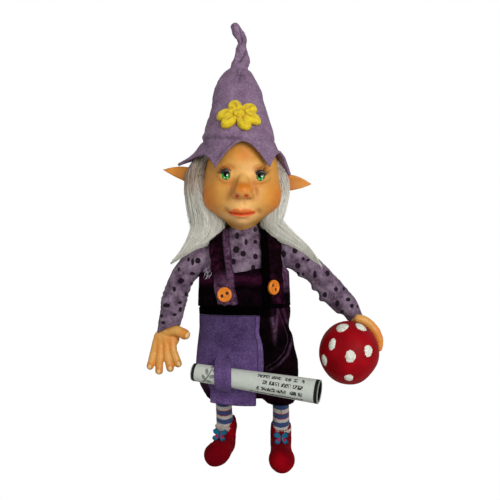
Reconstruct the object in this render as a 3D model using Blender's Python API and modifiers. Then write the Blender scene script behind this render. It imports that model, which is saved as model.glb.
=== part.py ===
# A standing elf doll, 33 cm tall, with a pointed felt hat, a rolled paper and a spotted ball.
# Lengths below are in millimetres; +Z is up, the doll looks along -Y, and +X is its left hand's side.
import math

import bmesh
import bpy
import numpy as np
from mathutils import Matrix, Vector

for old in list(bpy.data.objects):
    bpy.data.objects.remove(old, do_unlink=True)

# Fits
gap = 0.3               # clearance between touching pieces
felt = 1.8              # hat felt
velvet = 1.5            # band and straps
apronFelt = 1.5
paperWall = 0.7

# Head
headCentre = np.array([-2.0, 0.0, 207.0])
headHalf = np.array([27.5, 28.5, 41.0])
noseRadius = 6.6
eyeRadius = 6.5
rightEye = np.array([-13.5, -21.2, 207.2])
leftEye = np.array([11.2, -21.2, 206.3])
lashRadius = 0.5

# Body
waistZ = 112.0
bandTop = 137.0
strapWidth = 13.0
buttonRadius = 5.35
buttonThick = 2.4

# Held things
ballRadius = 22.0
ballCentre = np.array([75.1, -20.0, 79.9])
scrollStart = np.array([-36.5, -26.0, 66.9])
scrollEnd = np.array([50.7, -52.0, 58.0])
scrollRadii = (6.3, 8.1)

# Legs
sockRadius = 6.2
shoeHeight = 21.0

doll = bpy.data.collections.new("elf_doll")
bpy.context.scene.collection.children.link(doll)
tools = bpy.data.collections.new("cutters")
bpy.context.scene.collection.children.link(tools)


def colour(r, g, b, rough=0.85, metal=0.0):
    return {"Base Color": (r, g, b, 1.0), "Roughness": rough, "Metallic": metal}


def dress(piece, settings):
    material = bpy.data.materials.new(piece.name + "_surface")
    material.use_nodes = True
    shader = material.node_tree.nodes["Principled BSDF"]
    for key, value in settings.items():
        shader.inputs[key].default_value = value
    piece.data.materials.clear()
    piece.data.materials.append(material)


def place(name, shape):
    """Turns a bmesh in millimetres into an object in metres."""
    for v in shape.verts:
        v.co = v.co * 0.001
    bmesh.ops.recalc_face_normals(shape, faces=shape.faces)
    mesh = bpy.data.meshes.new(name)
    shape.to_mesh(mesh)
    shape.free()
    piece = bpy.data.objects.new(name, mesh)
    tools.objects.link(piece)
    mesh.shade_smooth()
    mesh.set_sharp_from_angle(angle=math.radians(50))
    return piece


def evaluated(piece):
    bpy.context.view_layer.update()
    graph = bpy.context.evaluated_depsgraph_get()
    return bpy.data.meshes.new_from_object(piece.evaluated_get(graph))


def settle(piece):
    """Applies what is on the piece, so that it can be cut or copied."""
    mesh = evaluated(piece)
    piece.modifiers.clear()
    piece.data = mesh
    return piece


def combine(piece, other, how, keep=False):
    step = piece.modifiers.new(how.lower(), "BOOLEAN")
    step.operation = how
    step.solver = "EXACT"
    step.object = other
    settle(piece)
    if not keep:
        bpy.data.objects.remove(other, do_unlink=True)
    return piece


def grown(piece, by=gap):
    """A copy of the piece swollen by the clearance, to cut its neighbours with."""
    copy = bpy.data.objects.new(piece.name + "_room", piece.data.copy())
    copy.matrix_world = piece.matrix_world
    tools.objects.link(copy)
    shape = bmesh.new()
    shape.from_mesh(copy.data)
    shape.normal_update()
    for v in shape.verts:
        flat = min((v.normal.dot(f.normal) for f in v.link_faces), default=1.0)
        v.co = v.co + v.normal * (by * 0.001 / max(0.5, flat))
    shape.to_mesh(copy.data)
    shape.free()
    copy.hide_render = True
    copy.display_type = "WIRE"
    return copy


def cut(piece, *neighbours):
    for other in neighbours:
        combine(piece, grown(other), "DIFFERENCE")
    return piece


def carve(piece, *rooms):
    """Cuts with swollen copies that are kept for the next piece."""
    for room in rooms:
        combine(piece, room, "DIFFERENCE", keep=True)
    return piece


def largest(piece):
    """Drops the slivers that a cut leaves beside the piece."""
    shape = bmesh.new()
    shape.from_mesh(piece.data)
    left, groups = set(shape.verts), []
    while left:
        group, edge = set(), [left.pop()]
        while edge:
            v = edge.pop()
            group.add(v)
            for e in v.link_edges:
                w = e.other_vert(v)
                if w in left:
                    left.remove(w)
                    edge.append(w)
        groups.append(group)
    groups.sort(key=len)
    for group in groups[:-1]:
        bmesh.ops.delete(shape, geom=list(group), context="VERTS")
    shape.to_mesh(piece.data)
    shape.free()
    return piece


def join(piece, *others):
    for other in others:
        combine(piece, other, "UNION")
    return piece


def finish(piece, settings):
    """Welds the last slivers and puts the piece in the doll's collection."""
    shape = bmesh.new()
    shape.from_mesh(piece.data)
    bmesh.ops.remove_doubles(shape, verts=shape.verts, dist=0.00002)
    bmesh.ops.dissolve_degenerate(shape, edges=shape.edges, dist=0.00001)
    shape.to_mesh(piece.data)
    shape.free()
    tools.objects.unlink(piece)
    doll.objects.link(piece)
    dress(piece, settings)
    return piece


def loft(name, rings):
    """Joins rings of equal point count, first to last, with a cap on each end."""
    shape = bmesh.new()
    rows = [[shape.verts.new(p) for p in ring] for ring in rings]
    count = len(rows[0])
    for a, b in zip(rows, rows[1:]):
        for i in range(count):
            j = (i + 1) % count
            shape.faces.new((a[i], a[j], b[j], b[i]))
    for row, ring in ((rows[0], rings[0]), (rows[-1], rings[-1])):
        hub = shape.verts.new(np.mean(ring, axis=0))
        for i in range(count):
            shape.faces.new((row[i], row[(i + 1) % count], hub))
    return place(name, shape)


def oval(cx, cy, z, rx, ry, count=28, power=2.0):
    """A level ring; a power over 2 squares it off."""
    ring = []
    for i in range(count):
        t = 2 * math.pi * i / count
        c, s = math.cos(t), math.sin(t)
        grow = (abs(c) ** power + abs(s) ** power) ** (-1 / power)
        ring.append((cx + rx * c * grow, cy + ry * s * grow, z))
    return ring


def between(table, z):
    """Reads the columns of a table of stations at a height, smoothly."""
    rows = sorted(table)
    zs = [r[0] for r in rows]
    return [float(np.interp(z, zs, [r[k] for r in rows])) for k in range(1, len(rows[0]))]


def stack(name, table, steps, count=28, power=2.0):
    """A stack of level rings read from a table of (z, cx, cy, rx, ry)."""
    rings = []
    for z in steps:
        cx, cy, rx, ry = between(table, z)
        rings.append(oval(cx, cy, z, rx, ry, count, power))
    return loft(name, rings)


def smoothPath(points, steps):
    """Catmull-Rom points through rows of coordinates and radius."""
    p = np.array(points, float)
    p = np.vstack([2 * p[0] - p[1], p, 2 * p[-1] - p[-2]])
    out = []
    for i in range(1, len(p) - 2):
        for k in range(steps):
            t = k / steps
            a, b, c, d = p[i - 1], p[i], p[i + 1], p[i + 2]
            out.append(0.5 * (2 * b + (c - a) * t + (2 * a - 5 * b + 4 * c - d) * t * t
                              + (3 * b - a - 3 * c + d) * t ** 3))
    out.append(p[-2])
    return np.array(out)


def tube(name, points, steps=3, sides=2, tip=False):
    """A round bar through points of (x, y, z, radius), with a rounded far end if asked."""
    path = smoothPath(points, steps)
    if tip:
        last, before = path[-1], path[-2]
        way = (last[:3] - before[:3]) / np.linalg.norm(last[:3] - before[:3])
        for t in (0.45, 0.8, 1.0):
            path = np.vstack([path, [*(last[:3] + way * last[3] * t),
                                     last[3] * math.sqrt(max(0.04, 1 - t * t))]])
    curve = bpy.data.curves.new(name, "CURVE")
    curve.dimensions = "3D"
    curve.bevel_depth = 0.001
    curve.bevel_resolution = sides
    curve.render_resolution_u = 0
    curve.use_fill_caps = True
    line = curve.splines.new("POLY")
    line.points.add(len(path) - 1)
    for point, row in zip(line.points, path):
        point.co = (row[0] * 0.001, row[1] * 0.001, row[2] * 0.001, 1)
        point.radius = row[3]
    wire = bpy.data.objects.new(name + "_wire", curve)
    tools.objects.link(wire)
    mesh = evaluated(wire)
    bpy.data.objects.remove(wire, do_unlink=True)
    shape = bmesh.new()
    shape.from_mesh(mesh)
    bmesh.ops.remove_doubles(shape, verts=shape.verts, dist=0.00001)
    for v in shape.verts:
        v.co = v.co * 1000
    return place(name, shape)


def ball(name, centre, radii, across=20, down=12, bend=None):
    """A sphere stretched to three radii; bend moves each of its unit points further."""
    shape = bmesh.new()
    bmesh.ops.create_uvsphere(shape, u_segments=across, v_segments=down, radius=1.0)
    for v in shape.verts:
        d = np.array(v.co)
        if bend is None:
            v.co = Vector(np.array(centre) + d * np.array(radii))
        else:
            v.co = Vector(bend(d))
    return place(name, shape)


def sheet(name, point, across, down, thick, ring=False, skip=None, flip=False):
    """A surface through point(u, v) on a grid, thickened outwards by Solidify."""
    shape = bmesh.new()
    us = np.linspace(0, 1, across + 1)[: across if ring else across + 1]
    rows = [[shape.verts.new(point(u, v)) for u in us] for v in np.linspace(0, 1, down + 1)]
    for r in range(down):
        for c in range(across):
            if skip and skip(c, r):
                continue
            d = (c + 1) % len(us)
            corners = (rows[r][c], rows[r][d], rows[r + 1][d], rows[r + 1][c])
            shape.faces.new(corners[::-1] if flip else corners)
    loose = [v for v in shape.verts if not v.link_faces]
    bmesh.ops.delete(shape, geom=loose, context="VERTS")
    for v in shape.verts:
        v.co = v.co * 0.001
    mesh = bpy.data.meshes.new(name)
    shape.to_mesh(mesh)
    shape.free()
    piece = bpy.data.objects.new(name, mesh)
    tools.objects.link(piece)
    wall = piece.modifiers.new("wall", "SOLIDIFY")
    wall.thickness = thick * 0.001
    wall.offset = 1.0
    wall.use_even_offset = True
    settle(piece)
    piece.data.shade_smooth()
    piece.data.set_sharp_from_angle(angle=math.radians(50))
    return piece


def hill(p, at, size, height):
    return height * math.exp(-sum((a - b) ** 2 for a, b in zip(p, at)) / (2 * size ** 2))


# Head: an oval skull, squarer under the hat, with brow, cheeks, lips and chin raised
def headPoint(d):
    crown = 1 + 0.16 * max(0.0, d[2] - 0.35) * (1 - max(0.0, d[2]) ** 4)
    p = headCentre + d * headHalf * np.array([crown, crown, 1])
    if d[1] < 0:
        lift = (hill(p, (-20, -20, 193), 9, 3.0) + hill(p, (16, -20, 193), 9, 3.0)
                + hill(p, (-3, -24, 172), 7, 4.5) + hill(p, (-2.5, -27, 186), 7, 3.5)
                + hill(p, (-14, -24, 215), 6, 1.6) + hill(p, (11, -24, 215), 6, 1.6)
                - hill(p, rightEye, 6, 1.8) - hill(p, leftEye, 6, 1.8))
        p = p + lift * np.array([d[0] * 0.5, d[1], d[2] * 0.3])
    return p


head = ball("head", None, None, 24, 16, bend=headPoint)
nose = ball("nose", (-1.4, -34.0, 195.5), (noseRadius, 7.5, noseRadius), 12, 8)
bridge = tube("bridge", [(-1.3, -25, 211, 2.6), (-1.3, -29, 203, 3.6), (-1.4, -32, 197, 4.8)], 1, 2)
headRoom = [grown(head)]
join(head, nose, bridge)


def ear(name, root, tip, width):
    """A flat leaf that tapers to the ear's point."""
    root, tip = np.array(root, float), np.array(tip, float)
    way = tip - root
    rings = []
    for t in np.linspace(0, 1, 7):
        c = root + way * t + np.array([0, 0, 1.5 * math.sin(math.pi * t)])
        w = width * (0.75 + 0.9 * t) * max(0.07, 1 - t ** 1.7)
        thick = 2.6 * (1 - 0.75 * t)
        ring = []
        for i in range(10):
            a = 2 * math.pi * i / 10
            ring.append((c[0], c[1] + thick * math.sin(a), c[2] + w * math.cos(a)))
        rings.append(ring)
    return loft(name, rings)


ears = [ear("right_ear", (-22, 6, 203), (-62.3, 5, 214.6), 7.5),
        ear("left_ear", (18, 6, 203), (50.5, 5, 203.6), 7.5)]
headRoom += [grown(one) for one in ears]
join(head, *ears)

# Shirt: neck, sloping shoulders and a round chest, closed at the waist seam
torsoTable = [(waistZ + gap, -0.6, 0, 33.2, 21.0), (124, -0.6, 0, 32.8, 20.8), (137, -0.6, 0, 32.2, 20.0),
              (147, -0.6, 0, 31.2, 18.6), (153, -0.8, 0.5, 29.6, 17.2), (158, -1, 1, 26.6, 15.4),
              (162, -1, 1.5, 22.2, 13.4), (165, -1, 2, 17.0, 11.8), (168, -1, 2.5, 12.2, 10.6),
              (172, -1, 3, 9.8, 9.8), (182, -1, 4, 9.0, 9.0)]
torsoSteps = [waistZ + gap, 124, 137, 143, 147, 153, 158, 162, 165, 168, 172, 182]
torso = stack("shirt_torso", torsoTable, torsoSteps, 32, 2.2)
cut(head, torso)

# Eyes sit in round sockets; each lash lies over its eye as a short bow
eyes = {"right_eye": rightEye, "left_eye": leftEye}
for name, centre in eyes.items():
    eyes[name] = ball(name, centre, (eyeRadius,) * 3, 14, 9)
lashes = {}
for name, centre, side in (("right_lash", rightEye, -1), ("left_lash", leftEye, 1)):
    points = []
    for t in np.linspace(-1, 1, 6):
        a, up = math.radians(44 * t + 8 * side), math.radians(34 - 12 * abs(t))
        reach = eyeRadius + gap + lashRadius + 0.1
        points.append((centre[0] + reach * math.cos(up) * math.sin(a),
                       centre[1] - reach * math.cos(up) * math.cos(a),
                       centre[2] + reach * math.sin(up), lashRadius))
    lashes[name] = tube(name, points, 1, 2)
for part in (*eyes.values(), *lashes.values()):
    cut(head, part)

# Hat: one felt shell, a cone that leans back, six pointed petals round its edge and a twisted tip
crownTable = [(235.4, -4.8, -3, 26.6, 26.6), (240.7, -4.4, -1, 25.8, 25.4), (251.5, -4.8, 4, 23.2, 22.6),
              (262.5, -4.8, 9, 20.5, 20.0), (273.5, -5.4, 14, 18.6, 18), (279.5, -5.7, 17, 17.3, 16.6),
              (285.3, -6.0, 20, 15.2, 14.5), (290.0, -5.6, 22, 12.4, 11.8), (293.0, -5.0, 23.4, 8.4, 8.0),
              (295.2, -4.4, 24.0, 4.0, 4.0)]
petalTips = [(-121, -20.5, -30, 212.1), (-86, -1.1, -31.0, 230.6), (-52, 17.3, -30, 212.1),
             (-22, 25.1, -15, 224.1), (5, 33.2, 1, 208.6), (30, 25, 17, 224), (58, 17, 33, 211),
             (88, -3, 32.5, 225), (117, -24, 32, 211), (146, -31, 16, 223), (176, -49.7, 1, 216.7),
             (205, -29.5, -15, 222.7)]


def brimEdge(angle):
    """The hem of the hat at an angle: odd stations are petal tips, even ones the notches between."""
    n = len(petalTips)
    turn = [t[0] for t in petalTips]
    a = (angle + 121) % 360 - 121
    for i in range(n):
        lo, hi = turn[i], turn[(i + 1) % n] + (360 if i == n - 1 else 0)
        if lo <= a <= hi:
            t = (a - lo) / (hi - lo)
            p, q = np.array(petalTips[i][1:]), np.array(petalTips[(i + 1) % n][1:])
            ease = 1 - (1 - t) ** 0.6 if i % 2 == 0 else t ** 0.6
            return p + (q - p) * ease
    return np.array(petalTips[0][1:])


def hatPoint(u, v):
    angle = 360 * u - 121
    a = math.radians(angle)
    if v < 0.34:
        t = 1 - v / 0.34
        cx, cy, rx, ry = between(crownTable, 235.4)
        top = np.array([cx + (rx - felt) * math.cos(a), cy + (ry - felt) * math.sin(a), 235.4])
        edge = brimEdge(angle)
        p = top + (edge - top) * t
        away = np.array([math.cos(a), math.sin(a), 0])
        p = p - away * 1.6 * math.sin(math.pi * t) - np.array([0, 0, 1.2]) * math.sin(math.pi * t)
        return tuple(p)
    z = 235.4 + (295.2 - 235.4) * ((v - 0.34) / 0.66)
    cx, cy, rx, ry = between(crownTable, z)
    return (cx + max(1.2, rx - felt) * math.cos(a), cy + max(1.2, ry - felt) * math.sin(a), z)


hat = sheet("hat", hatPoint, 42, 9, felt, ring=True)
hatRoom = grown(hat, gap + 0.15)
twist = tube("twist", [(-5.2, 23.2, 291.0, 5.0), (-4.2, 24.2, 296.0, 6.2), (-3.1, 25.4, 303.5, 5.9),
                       (-3.0, 26.2, 311.0, 4.3), (-2.2, 26.6, 316.0, 3.2), (-2.9, 26.4, 320.0, 3.7),
                       (-6.0, 26.0, 325.0, 3.8), (-7.8, 25.6, 329.5, 3.3)], 1, 3, tip=True)
join(hat, twist)
carve(head, hatRoom)

# A puffy flower of six petals on the front of the hat, its back shaped to the cone
flowerTilt = math.radians(42)
flowerAt = np.array([-4.2, -20.0, 250.0])


def flowerPoint(d):
    a = math.atan2(d[2], d[0])
    rim = math.hypot(d[0], d[2])
    reach = 15.8 * (0.84 + 0.16 * abs(math.cos(3 * a + 0.5))) * rim
    puff = 3.4 * d[1] * (1.25 - 0.35 * abs(math.sin(3 * a + 0.5)) * rim)
    if rim < 0.35:
        puff -= 1.2 if d[1] < 0 else 0
    x, y, z = reach * math.cos(a), puff, reach * math.sin(a)
    c, s = math.cos(flowerTilt), math.sin(flowerTilt)
    return flowerAt + np.array([x, y * c + z * s, z * c - y * s])


flower = ball("hat_flower", None, None, 30, 8, bend=flowerPoint)
carve(flower, hatRoom)
largest(flower)

# Sleeves: soft arms bent at the elbow, shaped to the chest where they are sewn on
rightSleeve = tube("right_sleeve", [(-24, 2, 149, 9.0), (-34, 1, 146.5, 10.2), (-44.4, 0, 137, 9.3),
                                    (-49.8, -2, 126, 9.3), (-52.6, -4, 117, 9.7), (-54.4, -6, 106.6, 8.9),
                                    (-56.2, -8, 97.6, 9.2)], 2, 4)
leftSleeve = tube("left_sleeve", [(24, 2, 151, 9.0), (33, 1, 150, 10.0), (41.5, 0, 146.2, 9.8),
                                  (56.0, 0, 134.2, 8.9), (65.2, 0, 123.4, 9.7), (74.4, 0, 113.4, 9.1),
                                  (82.6, 0, 104.4, 8.4)], 2, 4)
bandTable = [(waistZ - 1, -0.6, 0, 33.5, 21.3), (bandTop + gap, -0.6, 0, 32.5, 20.3)]
bandBlank = stack("band_blank", [(z, x, y, a + velvet + gap, b + velvet + gap) for z, x, y, a, b in bandTable],
                  [waistZ - 1, bandTop + gap], 32, 2.2)
torsoRoom = grown(torso)
sleeveRoom = [grown(rightSleeve), grown(leftSleeve)]
carve(rightSleeve, torsoRoom, bandBlank)
carve(leftSleeve, torsoRoom, bandBlank)


def bandPoint(u, v):
    cx, cy, rx, ry = between(torsoTable, waistZ + 0.6 + (bandTop - waistZ - 0.6) * v)
    ring = oval(cx, cy, 0, rx + gap + 0.05, ry + gap + 0.05, 32, 2.2)
    x, y, _ = ring[int(round(u * 32)) % 32]
    return (x, y, waistZ + 0.6 + (bandTop - waistZ - 0.6) * v)


band = sheet("bib_band", bandPoint, 32, 2, velvet, ring=True)


# Straps: strips over the shoulders, outside the band at front and back
def strapLine(x, count):
    """The side view of the chest at one x, from front waist over the shoulder to back waist."""
    front, back = [], []
    for z in np.linspace(waistZ + 3.0, 166, 70):
        cx, cy, rx, ry = between(torsoTable, z)
        t = abs(x - cx) / rx
        if t >= 0.999:
            break
        half = ry * (1 - t ** 2.2) ** (1 / 2.2)
        extra = (velvet + gap * 1.5) * min(1.0, max(0.0, (bandTop + 8 - z) / 2.5))
        front.append((cy - half - extra, z))
        back.append((cy + half + extra, z))
    line = np.array(front + back[::-1])
    tangent = np.gradient(line, axis=0)
    normal = np.stack([-tangent[:, 1], tangent[:, 0]], axis=1)
    normal /= np.linalg.norm(normal, axis=1)[:, None] + 1e-9
    over = np.sin(np.pi * np.linspace(0, 1, len(line))) ** 4
    line = line + normal * (gap + 0.35 + 1.1 * over)[:, None]
    far = np.concatenate([[0], np.cumsum(np.linalg.norm(np.diff(line, axis=0), axis=1))])
    want = np.linspace(0, far[-1], count)
    return np.stack([np.interp(want, far, line[:, 0]), np.interp(want, far, line[:, 1])], axis=1)


def strap(name, xWaist, xShoulder):
    rows = 22
    count = 3

    def point(u, v):
        lean = math.sin(math.pi * v)
        x = xWaist + (xShoulder - xWaist) * lean + strapWidth * (u - 0.5)
        y, z = strapLine(x, rows + 1)[int(round(v * rows))]
        return (x, y, z)

    return sheet(name, point, count, rows, velvet)


rightStrap = strap("right_strap", -13.0, -20.5)
leftStrap = strap("left_strap", 20.5, 18.0)
for strip, arm in ((rightStrap, rightSleeve), (leftStrap, leftSleeve)):
    cut(arm, strip)
    carve(strip, torsoRoom, headRoom[0])
    largest(strip)


def button(name, centre, turn, up):
    """A disc with two thread holes, facing out from the strap."""
    shape = bmesh.new()
    bmesh.ops.create_cone(shape, cap_ends=True, segments=20, radius1=buttonRadius, radius2=buttonRadius,
                          depth=buttonThick)
    disc = place(name, shape)
    edge = disc.modifiers.new("edge", "BEVEL")
    edge.width = 0.0006
    edge.segments = 1
    settle(disc)
    for side in (-1, 1):
        hole = bmesh.new()
        bmesh.ops.create_cone(hole, cap_ends=True, segments=8, radius1=0.9, radius2=0.9, depth=6)
        drill = place(name + "_hole", hole)
        drill.location = (side * 0.0021, 0, 0)
        combine(disc, drill, "DIFFERENCE")
    spin = Matrix.Rotation(math.radians(28 if centre[0] < 0 else -48), 4, "Z")
    tip = Matrix.Rotation(math.radians(90 - up), 4, "X")
    aim = Matrix.Rotation(math.radians(turn), 4, "Z")
    disc.data.transform(Matrix.Translation([c * 0.001 for c in centre]) @ aim @ tip @ spin)
    return disc


def onStrap(x, z, out):
    """A point that stands off the chest by out, with the chest's turn to the side there."""
    cx, cy, rx, ry = between(torsoTable, z)
    t = (x - cx) / rx
    y = cy - ry * (1 - abs(t) ** 2.2) ** (1 / 2.2)
    t2 = (x + 0.5 - cx) / rx
    slope = ((cy - ry * (1 - abs(t2) ** 2.2) ** (1 / 2.2)) - y) / 0.5
    turn = math.atan(slope)
    return np.array([x + out * math.sin(turn), y - out * math.cos(turn), z]), math.degrees(turn)


stand = (velvet + gap * 1.5) + (gap + 0.35) + velvet + gap + buttonThick / 2
buttonCentre, buttonTurn = onStrap(-14.2, 121.9, stand)
rightButton = button("right_button", buttonCentre, buttonTurn, 3)
buttonCentre, buttonTurn = onStrap(20.3, 127.0, stand + 0.1)
leftButton = button("left_button", buttonCentre, buttonTurn, 3)

# Trousers: a wide sack gathered into two short legs above the socks
hipTable = [(waistZ, -0.5, 0, 34.2, 22.0), (104, -0.4, 0, 33.9, 22.4), (94, -0.9, 0, 33.4, 22.8),
            (86, 0.7, 0, 35.5, 22.8), (71, 2.0, 0, 38.0, 22.6), (60, 2.3, 0, 37.8, 21.6), (52, 2.6, 0, 36.2, 19.0),
            (47, 2.8, 0.5, 33.0, 15.5), (44, 3.0, 1.0, 27.0, 10.5)]
trousers = stack("trousers", hipTable, [waistZ, 104, 94, 86, 78, 71, 65, 60, 56, 52, 49, 47, 45.3, 44], 32, 2.3)
rightLeg = stack("right_leg", [(70, -16, 1, 13, 13), (56, -16.5, 3, 17, 15), (48, -16.5, 4, 15.5, 14),
                               (42.5, -16, 4.5, 12.5, 11.5), (40, -16, 4.5, 9.0, 9.0)],
                 [70, 56, 48, 45, 42.5, 40], 18)
leftLeg = stack("left_leg", [(70, 22, -1, 13, 13), (56, 23.5, -2, 17, 15), (48, 24.5, -2, 15.8, 14),
                             (42.5, 25.5, -2, 12.7, 11.5), (39, 26.5, -2, 9.0, 9.0)],
                [70, 56, 48, 45, 42.5, 39], 18)
join(trousers, rightLeg, leftLeg)

# Socks run from inside the shoes to inside the trouser legs
rightSock = tube("right_sock", [(-14.0, 5.6, 9, sockRadius), (-15.0, 5.2, 21, sockRadius + 0.3),
                                (-15.8, 4.9, 32, sockRadius), (-16.4, 4.6, 45, sockRadius)], 1, 4)
leftSock = tube("left_sock", [(26.8, -2, 9, sockRadius), (26.9, -2, 21, sockRadius + 0.3),
                              (26.9, -2, 32, sockRadius), (26.6, -2, 45, sockRadius)], 1, 4)
cut(trousers, rightSock, leftSock)


def shoe(name, heel, toe):
    """A soft round-toed shoe with a flat sole at z 0 and a collar round the ankle."""
    heel, toe = np.array(heel, float), np.array(toe, float)
    way = (toe - heel) / np.linalg.norm(toe - heel)
    side = np.array([-way[1], way[0]])
    length = np.linalg.norm(toe - heel) + 19
    rings = []
    for t in (0.0, 0.04, 0.13, 0.28, 0.45, 0.62, 0.78, 0.9, 0.97, 1.0):
        at = heel + way * (t * length - 9.5)
        round_ = math.sqrt(max(0.02, 1 - (2 * t - 1) ** 6))
        wide = (9.0 + 1.9 * math.exp(-((t - 0.8) / 0.2) ** 2)) * round_
        tall = (16.8 + 2.0 * math.exp(-((t - 0.25) / 0.2) ** 2) + 2.2 * math.exp(-((t - 0.82) / 0.15) ** 2)) * round_
        ring = []
        for i in range(16):
            a = 2 * math.pi * i / 16
            z = max(0.0, tall * 0.46 + tall * 0.54 * math.sin(a) + (1 - round_) * 4)
            ring.append((at[0] + side[0] * wide * math.cos(a), at[1] + side[1] * wide * math.cos(a), z))
        rings.append(ring)
    return loft(name, rings)


def shoePiece(name, heel, toe, ankle):
    piece = shoe(name, heel, toe)
    collar = tube(name + "_collar", [(ankle[0], ankle[1], 5, 8.6), (ankle[0], ankle[1], 14, 8.9),
                                     (ankle[0], ankle[1], shoeHeight, 8.6)], 2, 4)
    return join(piece, collar)


rightShoe = shoePiece("right_shoe", (-12.6, 11.0), (-20.7, -23.5), (-14.4, 5.4))
leftShoe = shoePiece("left_shoe", (26.7, -1.0), (25.9, -38.5), (26.8, -2.2))
cut(rightShoe, rightSock)
cut(leftShoe, leftSock)


def butterfly(name, at, span):
    """Two pairs of thin wings lying on the instep."""
    def wing(d):
        a = math.atan2(d[1], d[0])
        reach = span * (0.35 + 0.65 * abs(math.cos(a)) ** 0.6 * (1.0 if d[1] > 0 else 0.85))
        rim = math.hypot(d[0], d[1])
        x, y = reach * rim * math.cos(a), reach * rim * math.sin(a) * 0.8
        return np.array(at) + np.array([x, y, d[2] * 0.7 + 0.02 * x * x + 0.35 * -y])
    return ball(name, None, None, 16, 4, bend=wing)


rightButterfly = butterfly("right_butterfly", (-18.0, -11.5, 17.9), 6.2)
leftButterfly = butterfly("left_butterfly", (26.2, -20.5, 17.9), 6.2)
cut(rightShoe, rightButterfly)
cut(leftShoe, leftButterfly)


# Apron: a felt flap from the left hip to past the middle, with a loop between two slits
def apronRest(angle, z):
    """The outside of the trousers at an angle, straight down below their widest line."""
    cx, cy, rx, ry = between(hipTable, max(z, 62.0))
    c, s = math.cos(angle), math.sin(angle)
    grow = (abs(c) ** 2.3 + abs(s) ** 2.3) ** (-1 / 2.3)
    return np.array([cx + rx * c * grow, cy + ry * s * grow])


apronTop, apronLow = 106.4, 43.2
loopAcross = (5, 8)
apronCols, apronRows = 16, 15
apronTurns = [192, 200, 208, 216, 223.2, 224.9, 231, 237, 242.5, 244.5, 251, 257, 263, 269, 275, 281, 287]


def apronPoint(u, v):
    col = int(round(u * apronCols))
    angle = math.radians(apronTurns[col])
    z = apronTop + (apronLow - apronTop) * v
    edge = abs(2 * u - 1)
    if z < 60:
        lift = (60 - z) / (60 - apronLow)
        z = z + 4.5 * lift * max(0.0, edge - 0.45) * (2.0 if u < 0.5 else 1.0)
    x, y = apronRest(angle, z)
    out = np.array([math.cos(angle), math.sin(angle) * 1.3])
    out /= np.linalg.norm(out)
    stand = gap + 0.35 + 0.9 * v
    if loopAcross[0] <= col <= loopAcross[1]:
        t = (z - scrollZ(x)) / (scrollR(x) + 2.6)
        if abs(t) < 1:
            front = scrollY(x) - (scrollR(x) + 1.0) * math.sqrt(1 - t * t)
            y = min(y - stand, front)
            return (x, y, z)
    x, y = x + out[0] * stand, y + out[1] * stand
    return (x, y, z)


def scrollT(x):
    return (x - scrollStart[0]) / (scrollEnd[0] - scrollStart[0])


def scrollY(x):
    return scrollStart[1] + (scrollEnd[1] - scrollStart[1]) * scrollT(x)


def scrollZ(x):
    return scrollStart[2] + (scrollEnd[2] - scrollStart[2]) * scrollT(x)


def scrollR(x):
    return scrollRadii[0] + (scrollRadii[1] - scrollRadii[0]) * scrollT(x)


def slit(col, row):
    z = apronTop + (apronLow - apronTop) * (row + 0.5) / apronRows
    return col in (loopAcross[0] - 1, loopAcross[1]) and 53.5 < z < 78.5


apron = sheet("apron", apronPoint, apronCols, apronRows, apronFelt, skip=slit, flip=True)


# The rolled paper: one sheet wound a turn and a quarter into a slight cone
def scrollPoint(u, v):
    way = scrollEnd - scrollStart
    at = scrollStart + way * v
    way = way / np.linalg.norm(way)
    side = np.cross(way, (0, 0, 1))
    side /= np.linalg.norm(side)
    up = np.cross(side, way)
    turn = 2 * math.pi * 1.22 * u + math.radians(200)
    r = scrollRadii[0] + (scrollRadii[1] - scrollRadii[0]) * v
    r = r - paperWall - (paperWall + gap + 0.25) * (1 - u) * 1.22
    return tuple(at + side * r * math.cos(turn) + up * r * math.sin(turn))


scroll = sheet("scroll", scrollPoint, 24, 3, paperWall)

# Hands: a palm, a thumb and four fingers; the left one is curled round the ball
spotted = ball("spotted_ball", ballCentre, (ballRadius,) * 3, 20, 12)


def aroundBall(turn, back, reach):
    t, b = math.radians(turn), math.radians(back)
    return ballCentre + reach * np.array([math.cos(b) * math.cos(t), math.sin(b), math.cos(b) * math.sin(t)])


def curled(name, back, start, stop, size):
    points = [(*aroundBall(a, back, ballRadius + gap + size + 0.1), size)
              for a in np.linspace(start, stop, 6)]
    return tube(name, points, 1, 2, tip=True)


leftHand = ball("left_hand", aroundBall(64, 38, ballRadius + 4.6), (8.5, 11.0, 7.6), 12, 8)
leftFingers = [tube("left_wrist", [(*aroundBall(66, 40, ballRadius + 5), 5.4), (82.6, 0.2, 103.5, 5.2),
                                   (77.5, 0, 110, 5.0)], 1, 3),
               curled("left_index", 14, 66, -8, 3.1), curled("left_middle", 30, 66, -14, 3.2),
               curled("left_ring", 46, 70, -10, 3.1), curled("left_little", 60, 76, 4, 2.8),
               curled("left_thumb", 40, 72, 138, 3.3)]
cut(leftSleeve, leftHand, *leftFingers)
join(leftHand, *leftFingers)
cut(leftHand, spotted)

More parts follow.
